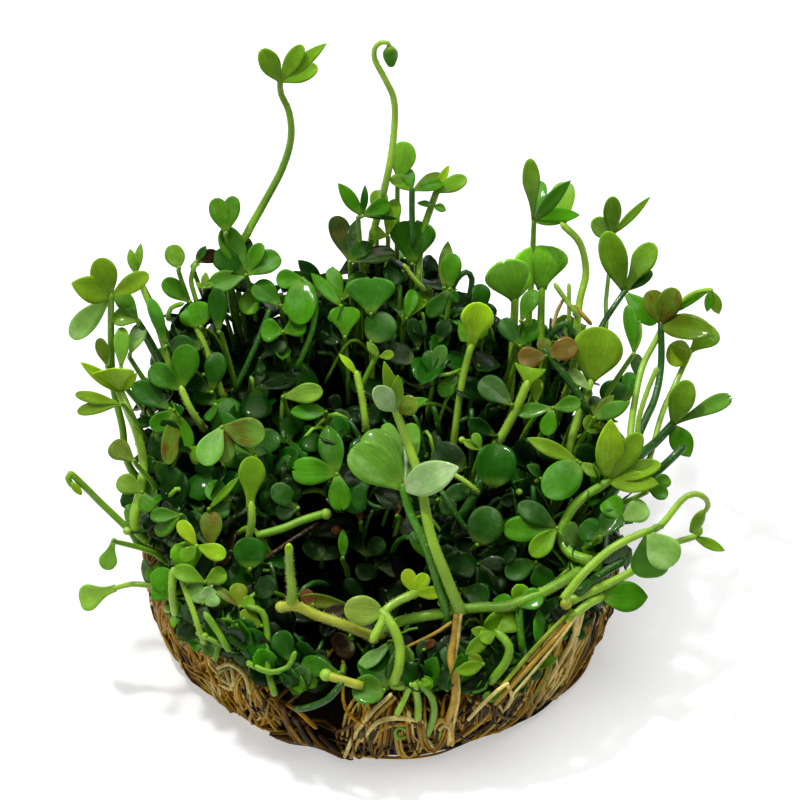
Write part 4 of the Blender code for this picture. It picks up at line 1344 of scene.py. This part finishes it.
# The roots that show best in the photo: a tint, a width in pixels, then x, y and depth. Without a depth
# they lie on the wall.
shownRoots = {
    "thick": ("tan", 8, [(457, 613, -20.8), (455, 636, -23), (451, 656, -25), (454, 675, -26.5),
                         (455, 698, -28), (447, 722, -28.8)]),
    "thickPale": ("cream", 4, [(461, 613, -21), (458, 640, -23.5), (455, 660, -25.2), (458, 680, -26.8),
                               (458, 700, -28.2), (450, 740, -29)]),
    "rightLong": ("green", 5, [(572, 610, -18.5), (550, 632, -22), (526, 658, -24.6), (502, 686, -27)]),
    "rightLongMid": ("tan", 4, [(574, 613, -18.3), (553, 636, -21.8), (529, 662, -24.4), (504, 692, -26.8)]),
    "rightLongLow": ("tan", 5, [(577, 614, -18.5), (560, 634, -22), (532, 664, -25), (496, 703, -28)]),
    "rightLongPale": ("cream", 3, [(579, 612, -18.8), (564, 634, -22.2), (538, 666, -25.2),
                                   (512, 696, -27.6)]),
    "rightSteep": ("cream", 6, [(578, 613, -18.6), (572, 640), (556, 668), (538, 700)]),
    "rightPale": ("cream", 5, [(583, 612, -18.4), (574, 645), (566, 672), (548, 697)]),
    "rightInner": ("tan", 6, [(566, 618, -19), (556, 650), (541, 690), (528, 716)]),
    "rightOuter": ("grey", 6, [(592, 616), (584, 650), (560, 690)]),
    "rightEdge": ("gold", 5, [(602, 612), (596, 636), (582, 662), (562, 692)]),
    "frontSweep": ("cream", 5, [(392, 694, -28), (372, 712, -29), (354, 736, -29.4), (345, 756, -29.3)]),
    "frontSweepLow": ("tan", 5, [(396, 697, -28), (378, 714, -29), (361, 736, -29.4), (351, 757, -29.3)]),
    "frontCurl": ("cream", 5, [(425, 722, -29), (400, 718, -29.5), (378, 722, -29.7), (362, 740, -29.5)]),
    "frontCurlLow": ("tan", 5, [(422, 727, -29), (400, 724, -29.4), (382, 729, -29.6), (370, 748, -29.4)]),
    "notchHem": ("brown", 7, [(276, 736, -26.5), (292, 740, -27), (310, 741, -27.2), (326, 748, -28),
                              (342, 756, -28.8)]),
    "notchHemLow": ("dark", 6, [(270, 733, -26), (290, 741, -26.6), (312, 744, -26.9), (330, 753, -27.6),
                                (350, 758, -28.8)]),
    "brokenRoot": ("tan", 5, [(573, 306, 14), (581, 313, 13.5), (590, 323, 13)]),
    "brokenRootPale": ("cream", 4, [(563, 300, 14.5), (557, 312, 14), (553, 326, 13)]),
    "notchA": ("brown", 6, [(282, 704), (288, 724), (297, 742)]),
    "notchB": ("dark", 7, [(294, 716), (302, 732), (311, 744)]),
    "notchC": ("brown", 5, [(306, 726), (314, 738), (324, 747)]),
    "notchD": ("dark", 6, [(318, 734), (328, 743), (338, 751)]),
    "leftPoint": ("gold", 5, [(270, 697, -26), (294, 708, -27), (315, 727, -28.6)]),
    "leftPointLow": ("gold", 4, [(268, 698, -26), (284, 718, -27), (300, 741, -28.3)]),
    "leftPale": ("cream", 5, [(152, 604), (156, 630), (166, 652)]),
    "leftCream": ("cream", 4, [(157, 610), (172, 632), (190, 652)]),
    "whiteBit": ("cream", 4, [(203, 641, -19.5), (210, 646, -20), (216, 651, -20.5)]),
    "whiteArc": ("cream", 5, [(218, 668), (230, 664), (244, 674), (250, 692)]),
    "thinFront": ("tan", 4, [(452, 622, -21.5), (434, 634, -22.2), (405, 648, -23)]),
    "hairpin": ("cream", 4, [(507, 684, -27), (512, 698, -26.8), (503, 711, -27.4), (500, 706, -27.2)]),
    "hairpinTop": ("cream", 4, [(468, 720, -29), (485, 702, -28.2), (498, 690, -27.4), (507, 684, -27)]),
    "loopFoot": ("tan", 6, [(434, 728, -29), (440, 720, -28.9), (450, 722, -28.8), (452, 744, -28.8)]),
    "loopFootIn": ("cream", 4, [(439, 730, -29.2), (444, 725, -29), (450, 730, -28.9), (448, 744, -28.8)]),
}


def shownRoute(width, spots):
    radius = inMm(width) / 2
    points = [atDepth(*spot) if len(spot) == 3 else onWall(*spot) for spot in spots]
    points = [Vector((p.x, p.y, max(p.z, radius + 0.05))) for p in points]
    radii = [radius * (0.85 if i in (0, len(points) - 1) else 1.0) for i in range(len(points))]
    route = smoothRoute(points, radii, 0.9)
    for place, _ in route:
        keepClear(place, radius, 0.2)
    return taperedEnd(route)


shownRootRoutes = [(tint, shownRoute(width, spots)) for tint, width, spots in shownRoots.values()]

# The rest of the mass: seeded small fronds, kept inside the photo's outline and off what stands in front.
# A layer has its lowest and highest share of the height, its spacing in mm and its tints' shares, which run
# darker lower down as painted shade.
filling = {
    "counts": (0.2, 0.16, 0.24, 0.4),                        # shares of fronds with 1 to 4 leaflets
    "kinds": ("clover", "clover", "clover", "notched", "pointed", "spoon"),
    "tints": ("mid", "deep", "dark", "fresh", "olive", "red", "brown"),
    "layers": {
        "top": (0.88, 1.0, 3.6, (0.04, 0.36, 0.54, 0.0, 0.01, 0.03, 0.02)),
        "middle": (0.7, 0.86, 3.7, (0.0, 0.3, 0.63, 0.0, 0.0, 0.03, 0.04)),
        "low": (0.5, 0.68, 4.0, (0.0, 0.14, 0.77, 0.0, 0.0, 0.04, 0.05)),
    },
    "lively": (0.26, 0.34, 0.2, 0.12, 0.05, 0.02, 0.01),     # tints' shares away from the middle
    "young": (0.34, 0.3, 0.1, 0.2, 0.04, 0.01, 0.01),        # and over the wall
    "livelyFrom": 19.0,
    "tries": 2200,
    "rimCount": 480,
    "rimReach": (26.5, 29.0),
    "rimLowest": 12.5,
    "behindTurns": (20, 160),    # turns are in degrees, from the right and then to the back
    "behindReach": (23.0, 28.0),
    "behindHeight": 0.8,
    "hanging": 230,
    "hangingTurns": ((200, 250), (264, 336)),
    "hangingHeight": (4.5, 13.0),
    "hangingGap": (0.4, 1.6),
    "hangingSize": 0.62,
    # Over the wall the painted shade is lighter than at the top of the mass.
    "hangingLevel": 1.25,
    "crossings": 110,
    "crossingReach": 24,
    "crossingRun": (3, 9),
    "crossingPeak": (0.86, 1.04),
    "crossingThick": (0.2, 0.38),
    "leaflet": (2.7, 5.9),
    "redSize": 0.6,
    "lowest": 11.6,              # leaflets end above the mat, apart from those that hang over its wall
    "lowestHanging": 3.0,
    # Painted shade: a leaflet's brightness at the bottom of the mass, its channels' shares there, and the
    # deeper level in the hollows.
    "oldest": 0.16,              # how bright a leaflet is at the bottom of the mass
    "ageShares": (0.72, 1.0, 0.4),
    "hollowLevel": 0.58,
}
outlineTop = [(118, 430), (130, 365), (150, 318), (172, 300), (200, 292), (230, 268), (262, 268), (288, 284),
              (322, 282), (338, 270), (362, 254), (400, 250), (436, 262), (456, 292), (482, 300), (500, 316),
              (530, 318), (556, 322), (600, 322), (612, 318), (640, 338), (652, 390), (648, 440), (655, 500),
              (645, 560), (630, 600)]
outlineFoot = [(118, 520), (135, 552), (150, 592), (170, 630), (190, 652), (215, 662), (240, 674),
               (270, 692), (300, 694), (345, 678), (400, 694), (450, 692), (480, 700), (530, 696),
               (560, 664), (590, 636), (612, 604), (655, 560)]
# The dark gaps, as the lens sees them: middle, half width, half height and the share of fronds kept.
hollowViews = [(240, 634, 30, 20, 0.3), (362, 590, 88, 100, 0.4), (330, 374, 46, 34, 0.1),
               (440, 415, 46, 30, 0.35), (298, 520, 44, 36, 0.3), (225, 345, 30, 24, 0.3),
               (300, 692, 40, 34, 0.1)]
tuftNodes = sorted(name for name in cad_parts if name.startswith("tuft_"))
tuftMiddles = {}
for node in tuftNodes:
    low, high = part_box(node)
    tuftMiddles[node] = ((low + high) / 2 / mm).xy
fillHeaps = {node: newHeap() for node in tuftNodes}
fillStems = {node: {"fresh": [], "dark": []} for node in tuftNodes}
spots = np.array(shownSpots)


# Whether something at this point would stand in front of what is read from the photo.
def hidesShown(point, radius):
    px, py, ahead = toPixel(point)
    near = np.hypot(spots[:, 0] - px, spots[:, 1] - py) < spots[:, 2] + radius * photo["pixelsPerMm"]
    return bool(np.any(near & (ahead < spots[:, 3])))


def insideOutline(point):
    px, py, _ = toPixel(point)
    columns, tops = zip(*outlineTop)
    footColumns, feet = zip(*outlineFoot)
    if point.y < 0 and py > np.interp(px, footColumns, feet):
        return False
    return columns[0] < px < columns[-1] + 25 and py > np.interp(px, columns, tops)


# The share of fronds that is kept at this point.
def hollowShare(point):
    px, py, _ = toPixel(point)
    for middleX, middleY, wide, high, kept in hollowViews:
        if ((px - middleX) / wide) ** 2 + ((py - middleY) / high) ** 2 < 1:
            return kept
    return 1.0


def nearestTuft(point):
    return min(tuftNodes, key=lambda node: (tuftMiddles[node] - point.xy).length)


# Leaflets deep in the mass get a painted shade, darker the lower their hub stands (level from 0 to 1), with
# red and blue dimmed more than green.
def fillFrond(hub, facing, shade, level, size=1.0, lowest=filling["lowest"]):
    node = nearestTuft(hub)
    count = random.choices((1, 2, 3, 4), filling["counts"])[0]
    start = anyAngle()
    side = facing.orthogonal().normalized()
    other = facing.cross(side)
    colour = random.choices(filling["tints"], shade)[0]
    kind = random.choice(filling["kinds"])
    grown = False
    for k in range(count):
        angle = start + k * 2 * math.pi / max(count, 3) + random.gauss(0, 0.25)
        length = random.uniform(*filling["leaflet"]) * size
        if colour in ("red", "brown"):
            length *= filling["redSize"]
        rise = random.uniform(-0.15, 0.5)
        way = (side * math.cos(angle) + other * math.sin(angle) + facing * rise).normalized()
        tip = hub + way * length
        width = length * random.uniform(0.5, 0.88)
        if not insideOutline(tip) or hidesShown(hub.lerp(tip, 0.6), width * 0.45) or tip.z < lowest:
            continue
        depthShade = filling["oldest"] + (1 - filling["oldest"]) * max(0.0, level - 0.5) / 0.5
        depthShade = min(1.25, depthShade) * random.uniform(0.38, 0.98)
        tint = [c * depthShade * share for c, share in zip(leafTones[colour], filling["ageShares"])]
        addBlade(fillHeaps[node], smallBlades, "spoon" if count == 1 else kind, hub, tip, width, facing, tint,
                 cup=random.uniform(-0.08, 0.2), curl=random.uniform(-0.2, 0.9),
                 fold=random.uniform(-0.1, 0.3), wave=0.06, blush=blushOrSheenOf(colour))
        grown = True
    if grown:
        stem = "dark" if colour in ("dark", "deep", "brown") else "fresh"
        fillStems[node][stem].append(grownRoute(hub, facing, 0.4, 0.27))


# A place over the mat, from 0 on its top to 1 at the top of the mass.
def inMass(x, y, level):
    ground = rootMat["height"]
    return Vector((x, y, ground + (canopyHeight(x, y) - ground) * level))


def hasRoom(hub):
    return insideOutline(hub) and not hidesShown(hub, 0.5)


def fillLayer(low, high, spacing, shade):
    placed = []
    for _ in range(filling["tries"]):
        x, y = around(anyAngle(), canopy["radius"] * math.sqrt(random.random()))
        if any((x - a) ** 2 + (y - b) ** 2 < spacing ** 2 for a, b in placed):
            continue
        placed.append((x, y))
        level = random.uniform(low, high)
        hub = inMass(x, y, level)
        outward = Vector((x, y, 0)) / canopy["radius"]
        facing = tipped(Vector((0, -0.25, 0.9)) + outward * 0.45, 0.4, 0.4)
        kept = hollowShare(hub)
        if random.random() > kept or not hasRoom(hub):
            continue
        # In the dark gaps the painted shade is deeper.
        if kept < 1:
            fillFrond(hub, facing, shade, level * filling["hollowLevel"])
        else:
            lively = low > 0.85 and math.hypot(x, y + 4) > filling["livelyFrom"]
            fillFrond(hub, facing, filling["lively"] if lively else shade, level)


# Around the edge they face outwards. Every third one stands further in at the back, in the shade, and takes
# the low layer's darker tints as painted shade.
def fillRim():
    for turn in range(filling["rimCount"]):
        behind = turn % 3 == 0
        angle = turnIn(filling["behindTurns"]) if behind else anyAngle()
        x, y = around(angle, random.uniform(*filling["behindReach" if behind else "rimReach"]))
        top = canopyHeight(x, y) * (filling["behindHeight"] if behind else 1.0)
        hub = Vector((x, y, random.uniform(filling["rimLowest"], max(filling["rimLowest"] + 0.5, top))))
        facing = Vector((*around(angle, 0.8), 0.6))
        facing = (facing + Vector([random.gauss(0, 0.3) for _ in range(3)])).normalized()
        if hasRoom(hub):
            shade = filling["layers"]["low"][3] if behind else filling["lively"]
            fillFrond(hub, facing, shade, random.uniform(0.7, 1.0))


# Small ones hang over the wall in front, on both sides of the gap.
def fillWall():
    for turn in range(filling["hanging"]):
        angle = turnIn(filling["hangingTurns"][turn % 2])
        height = random.uniform(*filling["hangingHeight"])
        reach = wallRadius(angle, height) + random.uniform(*filling["hangingGap"])
        hub = Vector((*around(angle, reach), height))
        lean = Vector((random.gauss(0, 0.3), -0.2, random.uniform(0.3, 1.1)))
        facing = (hub * Vector((1, 1, 0)) / reach + lean).normalized()
        if hasRoom(hub):
            fillFrond(hub, facing, filling["young"], filling["hangingLevel"],
                      filling["hangingSize"], filling["lowestHanging"])


# Bare stalks that cross between the fronds.
def fillCrossings():
    for _ in range(filling["crossings"]):
        start = around(anyAngle(), filling["crossingReach"] * math.sqrt(random.random()))
        heading, run = anyAngle(), random.uniform(*filling["crossingRun"])
        peak = random.uniform(*filling["crossingPeak"])
        points = []
        for share, level in ((0, 0.35), (0.25, 0.75), (0.6, peak), (1, random.uniform(0.55, 0.9))):
            step = around(heading, run * share)
            points.append(inMass(start[0] + step[0], start[1] + step[1], level))
        if any(hidesShown(point, 0.4) or not insideOutline(point) for point in points[1:]):
            continue
        thick = random.uniform(*filling["crossingThick"])
        stems = fillStems[nearestTuft(points[1])]
        stems[random.choice(("dark", "dark", "fresh"))].append(smoothRoute(points, [thick] * 4, 1.4))


random.seed(37)
for layer in filling["layers"].values():
    fillLayer(*layer)
fillRim()
fillWall()
fillCrossings()
for node in tuftNodes:
    name = node.replace("tuft_", "tuft").title().replace("_", "")
    setPiece(meshOf(name + "Leaves", fillHeaps[node], deepLeafSkin), "foliage", node)
    tubes = [drawTubes(name + tint, routes, stalkTones[tint], stalkSkin, 1)
             for tint, routes in fillStems[node].items() if routes]
    setPiece(joinPieces(tubes, name + "Stalks"), "stalk")
print("mass of small fronds made")

# The felt's dark body, just inside its outer roots, with a heap on it that stands for old stems; its top and
# the gap are painted near black as shade.
core = {
    "inset": 0.9,
    "rings": 7,
    "segments": 72,
    "topRings": 9,
    "topStep": 2.9,
    "lump": 0.5,
    "heap": 0.52,                # the heap's share of the height of the leaves over it
    "heapAbove": 10,
    "heapEdge": 0.93,
    "heapSlope": 5,
    "darkAbove": 9.5,
    "darkInNotch": 5,
}


# Rings on top and up the wall give the body points that can be moved.
def modelFelt():
    selectOnly()
    bpy.ops.mesh.primitive_cylinder_add(vertices=core["segments"], radius=rootMat["radius"] * mm,
                                        depth=(rootMat["height"] - 0.4) * mm,
                                        location=(0, 0, (rootMat["height"] / 2) * mm))
    felt = bpy.context.object
    felt.name = "rootFelt"
    bpy.ops.object.transform_apply(location=True)
    bpy.ops.object.mode_set(mode="EDIT")
    bpy.ops.mesh.select_all(action="DESELECT")
    bpy.ops.mesh.select_mode(type="FACE")
    shape = bmesh.from_edit_mesh(felt.data)
    for face in shape.faces:
        face.select = abs(face.normal.z) > 0.9
    for step in range(core["topRings"]):
        bpy.ops.mesh.inset(thickness=core["topStep"] * mm, use_boundary=True)
    for step in range(1, core["rings"]):
        bpy.ops.mesh.select_all(action="SELECT")
        level = rootMat["height"] * step / core["rings"] * mm
        bpy.ops.mesh.bisect(plane_co=(0, 0, level), plane_no=(0, 0, 1))
    bpy.ops.object.mode_set(mode="OBJECT")
    return felt


def shapeFelt(felt):
    for vertex in felt.data.vertices:
        x, y, z = vertex.co / mm
        angle = math.atan2(y, x)
        share = math.hypot(x, y) / rootMat["radius"]
        radius = (wallRadius(angle, z) - core["inset"]) * share
        bump = core["lump"] * math.sin(5 * angle + z) * math.sin(9 * angle + 2 * z) * share
        rise = 0.0
        if z > core["heapAbove"]:
            middle = min(1.0, max(0.0, (core["heapEdge"] - share) * core["heapSlope"]))
            rise = max(0.0, canopyHeight(x, y) - z) * core["heap"] * middle
            rise += middle * (math.sin(x * 1.3 + y) * math.sin(y * 1.1 - x * 0.7))
        vertex.co = Vector((*around(angle, radius + bump), z + rise)) * mm
    cleanMesh()
    felt.data.shade_smooth()
    felt.data.materials.append(coreSkin)


# The felt is soil brown low down; above that, and lower in the gap, it is painted near black as shade.
def tintFelt(felt):
    feltTint = felt.data.attributes.new("tint", "FLOAT_COLOR", "POINT")
    for vertex, spot in zip(felt.data.vertices, feltTint.data):
        bare = turnBetween(math.atan2(vertex.co.y, vertex.co.x), rootMat["notch"]) < rootMat["notchWidth"]
        night = vertex.co.z > (core["darkInNotch"] if bare else core["darkAbove"]) * mm
        spot.color = (*rootTones["night" if night else "soil"], 0.0)


felt = modelFelt()
shapeFelt(felt)
tintFelt(felt)
setPiece(felt, "root", "root_mat")

# Roots that wrap the felt: bundles hang from the shoulder, others circle the foot or loop back.
roots = {
    "bundles": 330,
    "bareTurns": (258, 294),     # degrees in front, where bows take the place of most bundles
    "bareShare": 0.6,
    "sweeps": 22,
    "sweepTurns": (316, 340),
    "sweepRadius": (0.16, 0.3),
    "circling": 110,
    "hem": 60,
    "loops": 150,
    "bights": 0.4,               # the share of loops that hang down, and the others stand up as bows
    "bowTurns": (257, 304),
    "under": 110,
    "underRadius": (0.2, 0.34),
    "radius": (0.17, 0.38),
    "frontTurns": (242, 302),
    "leftTurns": (175, 236),
    "pieces": ("outerRoots", "windingRoots", "frontRoots"),
    "tones": ("gold", "tan", "cream", "brown", "dark", "grey", "green"),
    "shares": (0.42, 0.14, 0.06, 0.23, 0.1, 0.04, 0.01),
    "paleShares": (0.2, 0.3, 0.3, 0.06, 0.02, 0.06, 0.06),
    "frontShares": (0.14, 0.05, 0.04, 0.4, 0.29, 0.04, 0.04),
    "leftShares": (0.5, 0.22, 0.12, 0.1, 0.03, 0.02, 0.01),
}
matProfile = [(0.0, -6.0, 11.3), (0.22, -1.2, 11.2), (0.34, 0.0, 10.0), (0.88, 0.1, 1.5), (1.0, -1.2, 0.5)]


# A place on the mat's skin: 0 on top, 1 tucked under the foot.
def onSkin(angle, share, lift):
    shares, insets, heights = zip(*matProfile)
    height = float(np.interp(share, shares, heights))
    radius = wallRadius(angle, height) + float(np.interp(share, shares, insets)) + lift
    return Vector((*around(angle, radius), height))


# Roots keep out of the gap, apart from its foot.
def crossesNotch(points):
    return any(turnBetween(math.atan2(p.y, p.x), rootMat["notch"]) < rootMat["notchWidth"] * 0.8
               and p.xy.length > 25 and p.z > 5 for p in points)


rootRoutes = {piece: {tint: [] for tint in roots["tones"]} for piece in roots["pieces"]}


def isIn(angle, turns):
    low, high = roots[turns]
    return low < math.degrees(angle) % 360 < high


# Darker roots in front, more golden ones on the left.
def rootTint(angle):
    shares = "shares"
    if isIn(angle, "frontTurns"):
        shares = "frontShares"
    elif isIn(angle, "leftTurns"):
        shares = "leftShares"
    return random.choices(roots["tones"], roots[shares])[0]


def addRoot(points, radius, tint=None, piece="windingRoots"):
    tint = tint or rootTint(math.atan2(points[0].y, points[0].x))
    if crossesNotch(points):
        return
    points = [Vector((p.x, p.y, max(p.z, radius + 0.03))) for p in points]
    radii = [radius * (1 - 0.3 * i / (len(points) - 1)) for i in range(len(points))]
    radii[0], radii[-1] = radius * 0.4, radius * 0.3
    rootRoutes[piece][tint].append(smoothRoute(points, radii, 1.1))


def hangBundles():
    for _ in range(roots["bundles"]):
        angle = anyAngle()
        if isIn(angle, "bareTurns") and random.random() < roots["bareShare"]:
            continue
        lean = -0.22 * math.sin(angle - math.radians(270)) + random.gauss(0, 0.16)
        start, end = random.uniform(0.0, 0.3), random.choice((1.0, 1.0, random.uniform(0.75, 0.95)))
        phase, swing = random.uniform(0, 6), random.uniform(0.02, 0.06)
        tint = rootTint(angle)
        for strand in range(random.choice((1, 2, 2, 3))):
            lift = random.uniform(-0.45, 0.35)
            own, pace = strand * random.uniform(0.006, 0.03), random.uniform(5, 11)
            stop = end * random.uniform(0.7, 1.0)
            points = []
            for t in evenShares(11):
                wave = swing * math.sin(phase + 7 * t) + 0.028 * math.sin(phase * 3 + strand * 1.7 + pace * t)
                out = lift + 0.3 * math.sin(phase * 2 + 9 * t)
                points.append(onSkin(angle + own + lean * t ** 1.3 + wave, start + (stop - start) * t, out))
            radius = random.uniform(*roots["radius"])
            addRoot(points, radius, tint if random.random() < 0.6 else None, "outerRoots")


# Long pale ones that leave the creeping stem on the right.
def sweepRight():
    for _ in range(roots["sweeps"]):
        angle, turn = turnIn(roots["sweepTurns"]), turnIn((4, 24))
        phase, lift = random.uniform(0, 6), random.uniform(0.3, 0.7)
        start, stop = random.uniform(0.1, 0.3), random.uniform(0.8, 1.0)
        points = []
        for t in evenShares(9):
            wave = 0.022 * math.sin(phase + 6 * t)
            points.append(onSkin(angle - turn * t + wave, start + (stop - start) * t, lift * (1 - t * 0.5)))
        tint = random.choices(roots["tones"], roots["paleShares"])[0]
        addRoot(points, random.uniform(*roots["sweepRadius"]), tint, "outerRoots")


def circleFoot():
    for _ in range(roots["circling"]):
        angle, length = anyAngle(), random.uniform(0.25, 0.9)
        share = random.triangular(0.35, 1.0, 0.9)
        phase, lift = random.uniform(0, 6), random.uniform(-0.3, 0.3)
        points = []
        for t in evenShares(9):
            level = min(1.0, share + 0.08 * math.sin(phase + 5 * t) + random.gauss(0, 0.01))
            points.append(onSkin(angle + length * t, level, lift))
        addRoot(points, random.uniform(*roots["radius"]))
    for _ in range(roots["hem"]):
        angle, length, phase = anyAngle(), random.uniform(0.3, 0.8), random.uniform(0, 6)
        share = random.uniform(0.9, 1.0)
        points = []
        for t in evenShares(9):
            out = 0.35 + 0.25 * math.sin(phase + 6 * t)
            points.append(onSkin(angle + length * t, min(1.0, share + 0.03 * math.sin(phase + 9 * t)), out))
        addRoot(points, random.uniform(*roots["radius"]))


# Every third loop is in front.
def loopBack():
    for turn in range(roots["loops"]):
        angle = anyAngle() if turn % 3 else turnIn(roots["bowTurns"])
        width = random.uniform(0.02, 0.06) * random.choice((-1, 1))
        top, bottom = random.uniform(0.0, 0.3), random.uniform(0.6, 0.9)
        near, far = (top, bottom) if random.random() < roots["bights"] else (1.0, top)
        middle = (near + far) / 2
        lift = random.uniform(-0.1, 0.5)
        tint = rootTint(angle)
        for strand in range(random.choice((1, 1, 2))):
            nested = 1 + 0.4 * strand
            peak = far + (far - near) * 0.06 * strand
            bend = peak + (middle - peak) * 0.3
            bow = ((-1.2, near), (-0.9, middle), (-0.65, bend), (0, peak),
                   (0.65, bend), (0.9, middle), (1.2, near))
            points = [onSkin(angle + width * nested * across, min(1.0, max(0.0, level)), lift)
                      for across, level in bow]
            addRoot(points, random.uniform(*roots["radius"]) * 0.85, tint)


def tuckUnder():
    for _ in range(roots["under"]):
        angle = anyAngle()
        inner, outer = random.uniform(2, 22), wallRadius(angle, 0.3) - 1.0
        bend = random.gauss(0, 0.4)
        points = [Vector((*around(angle + bend * t, outer + (inner - outer) * t), 0.3))
                  for t in evenShares(6)]
        addRoot(points, random.uniform(*roots["underRadius"]))


random.seed(51)
hangBundles()
sweepRight()
circleFoot()
loopBack()
tuckUnder()
for tint, route in shownRootRoutes:
    rootRoutes["frontRoots"][tint].append(route)
for name, kinds in rootRoutes.items():
    roundness = 2 if name == "frontRoots" else 1
    tubes = [drawTubes(name + tint, routes, rootTones[tint], rootSkin, roundness)
             for tint, routes in kinds.items() if routes]
    setPiece(joinPieces(tubes, name), "root")
print("root mat made")

# Floor, lights and camera.
stage = {"floor": 6.0, "shade": (0.62, 0.62, 0.62), "glow": 0.44, "sky": 0.13,
         "key": 3.6, "fill": 0.9, "glint": 3.2}
bpy.ops.mesh.primitive_plane_add(size=stage["floor"], location=(0, 1.5, -0.00002))
floor = bpy.context.object
floor.name = "floor"
paper, paperTree = newMaterial("paleFloor")
paperShader = addNode(paperTree, "ShaderNodeBsdfPrincipled",
                      {"Base Color": (*stage["shade"], 1.0), "Roughness": 0.9, "Specular IOR Level": 0.1,
                       "Emission Color": (1.0, 1.0, 1.0, 1.0), "Emission Strength": stage["glow"]})
paperOut = addNode(paperTree, "ShaderNodeOutputMaterial")
paperTree.links.new(paperShader.outputs["BSDF"], paperOut.inputs["Surface"])
floor.data.materials.append(paper)
world = bpy.data.worlds.new("studio")
world.use_nodes = True
world.node_tree.nodes["Background"].inputs["Color"].default_value = (1.0, 1.0, 1.0, 1.0)
world.node_tree.nodes["Background"].inputs["Strength"].default_value = stage["sky"]
bpy.context.scene.world = world


def addSoftLight(name, place, size, power):
    lamp = bpy.data.lights.new(name, "AREA")
    lamp.size = size
    lamp.energy = power
    holder = addObject(name, lamp)
    holder.location = place
    holder.rotation_euler = (Vector((0, 0, 0.02)) - Vector(place)).to_track_quat("-Z", "Y").to_euler()


addSoftLight("keyLight", (0.1, 0.14, 0.64), 0.5, stage["key"])
addSoftLight("glintLight", (-0.22, 0.2, 0.6), 0.05, stage["glint"])
addSoftLight("fillLight", (-0.45, -0.5, 0.4), 0.5, stage["fill"])

lens = bpy.data.cameras.new("camera")
lens.sensor_width = photo["sensor"]
lens.lens = photo["sensor"] * focalPixels / photo["width"]
lens.clip_start = 0.01
camera = addObject("camera", lens)
camera.location = lensPlace * mm
camera.rotation_euler = (math.pi / 2 - photo["elevation"], 0, 0)
bpy.context.scene.camera = camera
bpy.context.scene.view_settings.view_transform = "Standard"
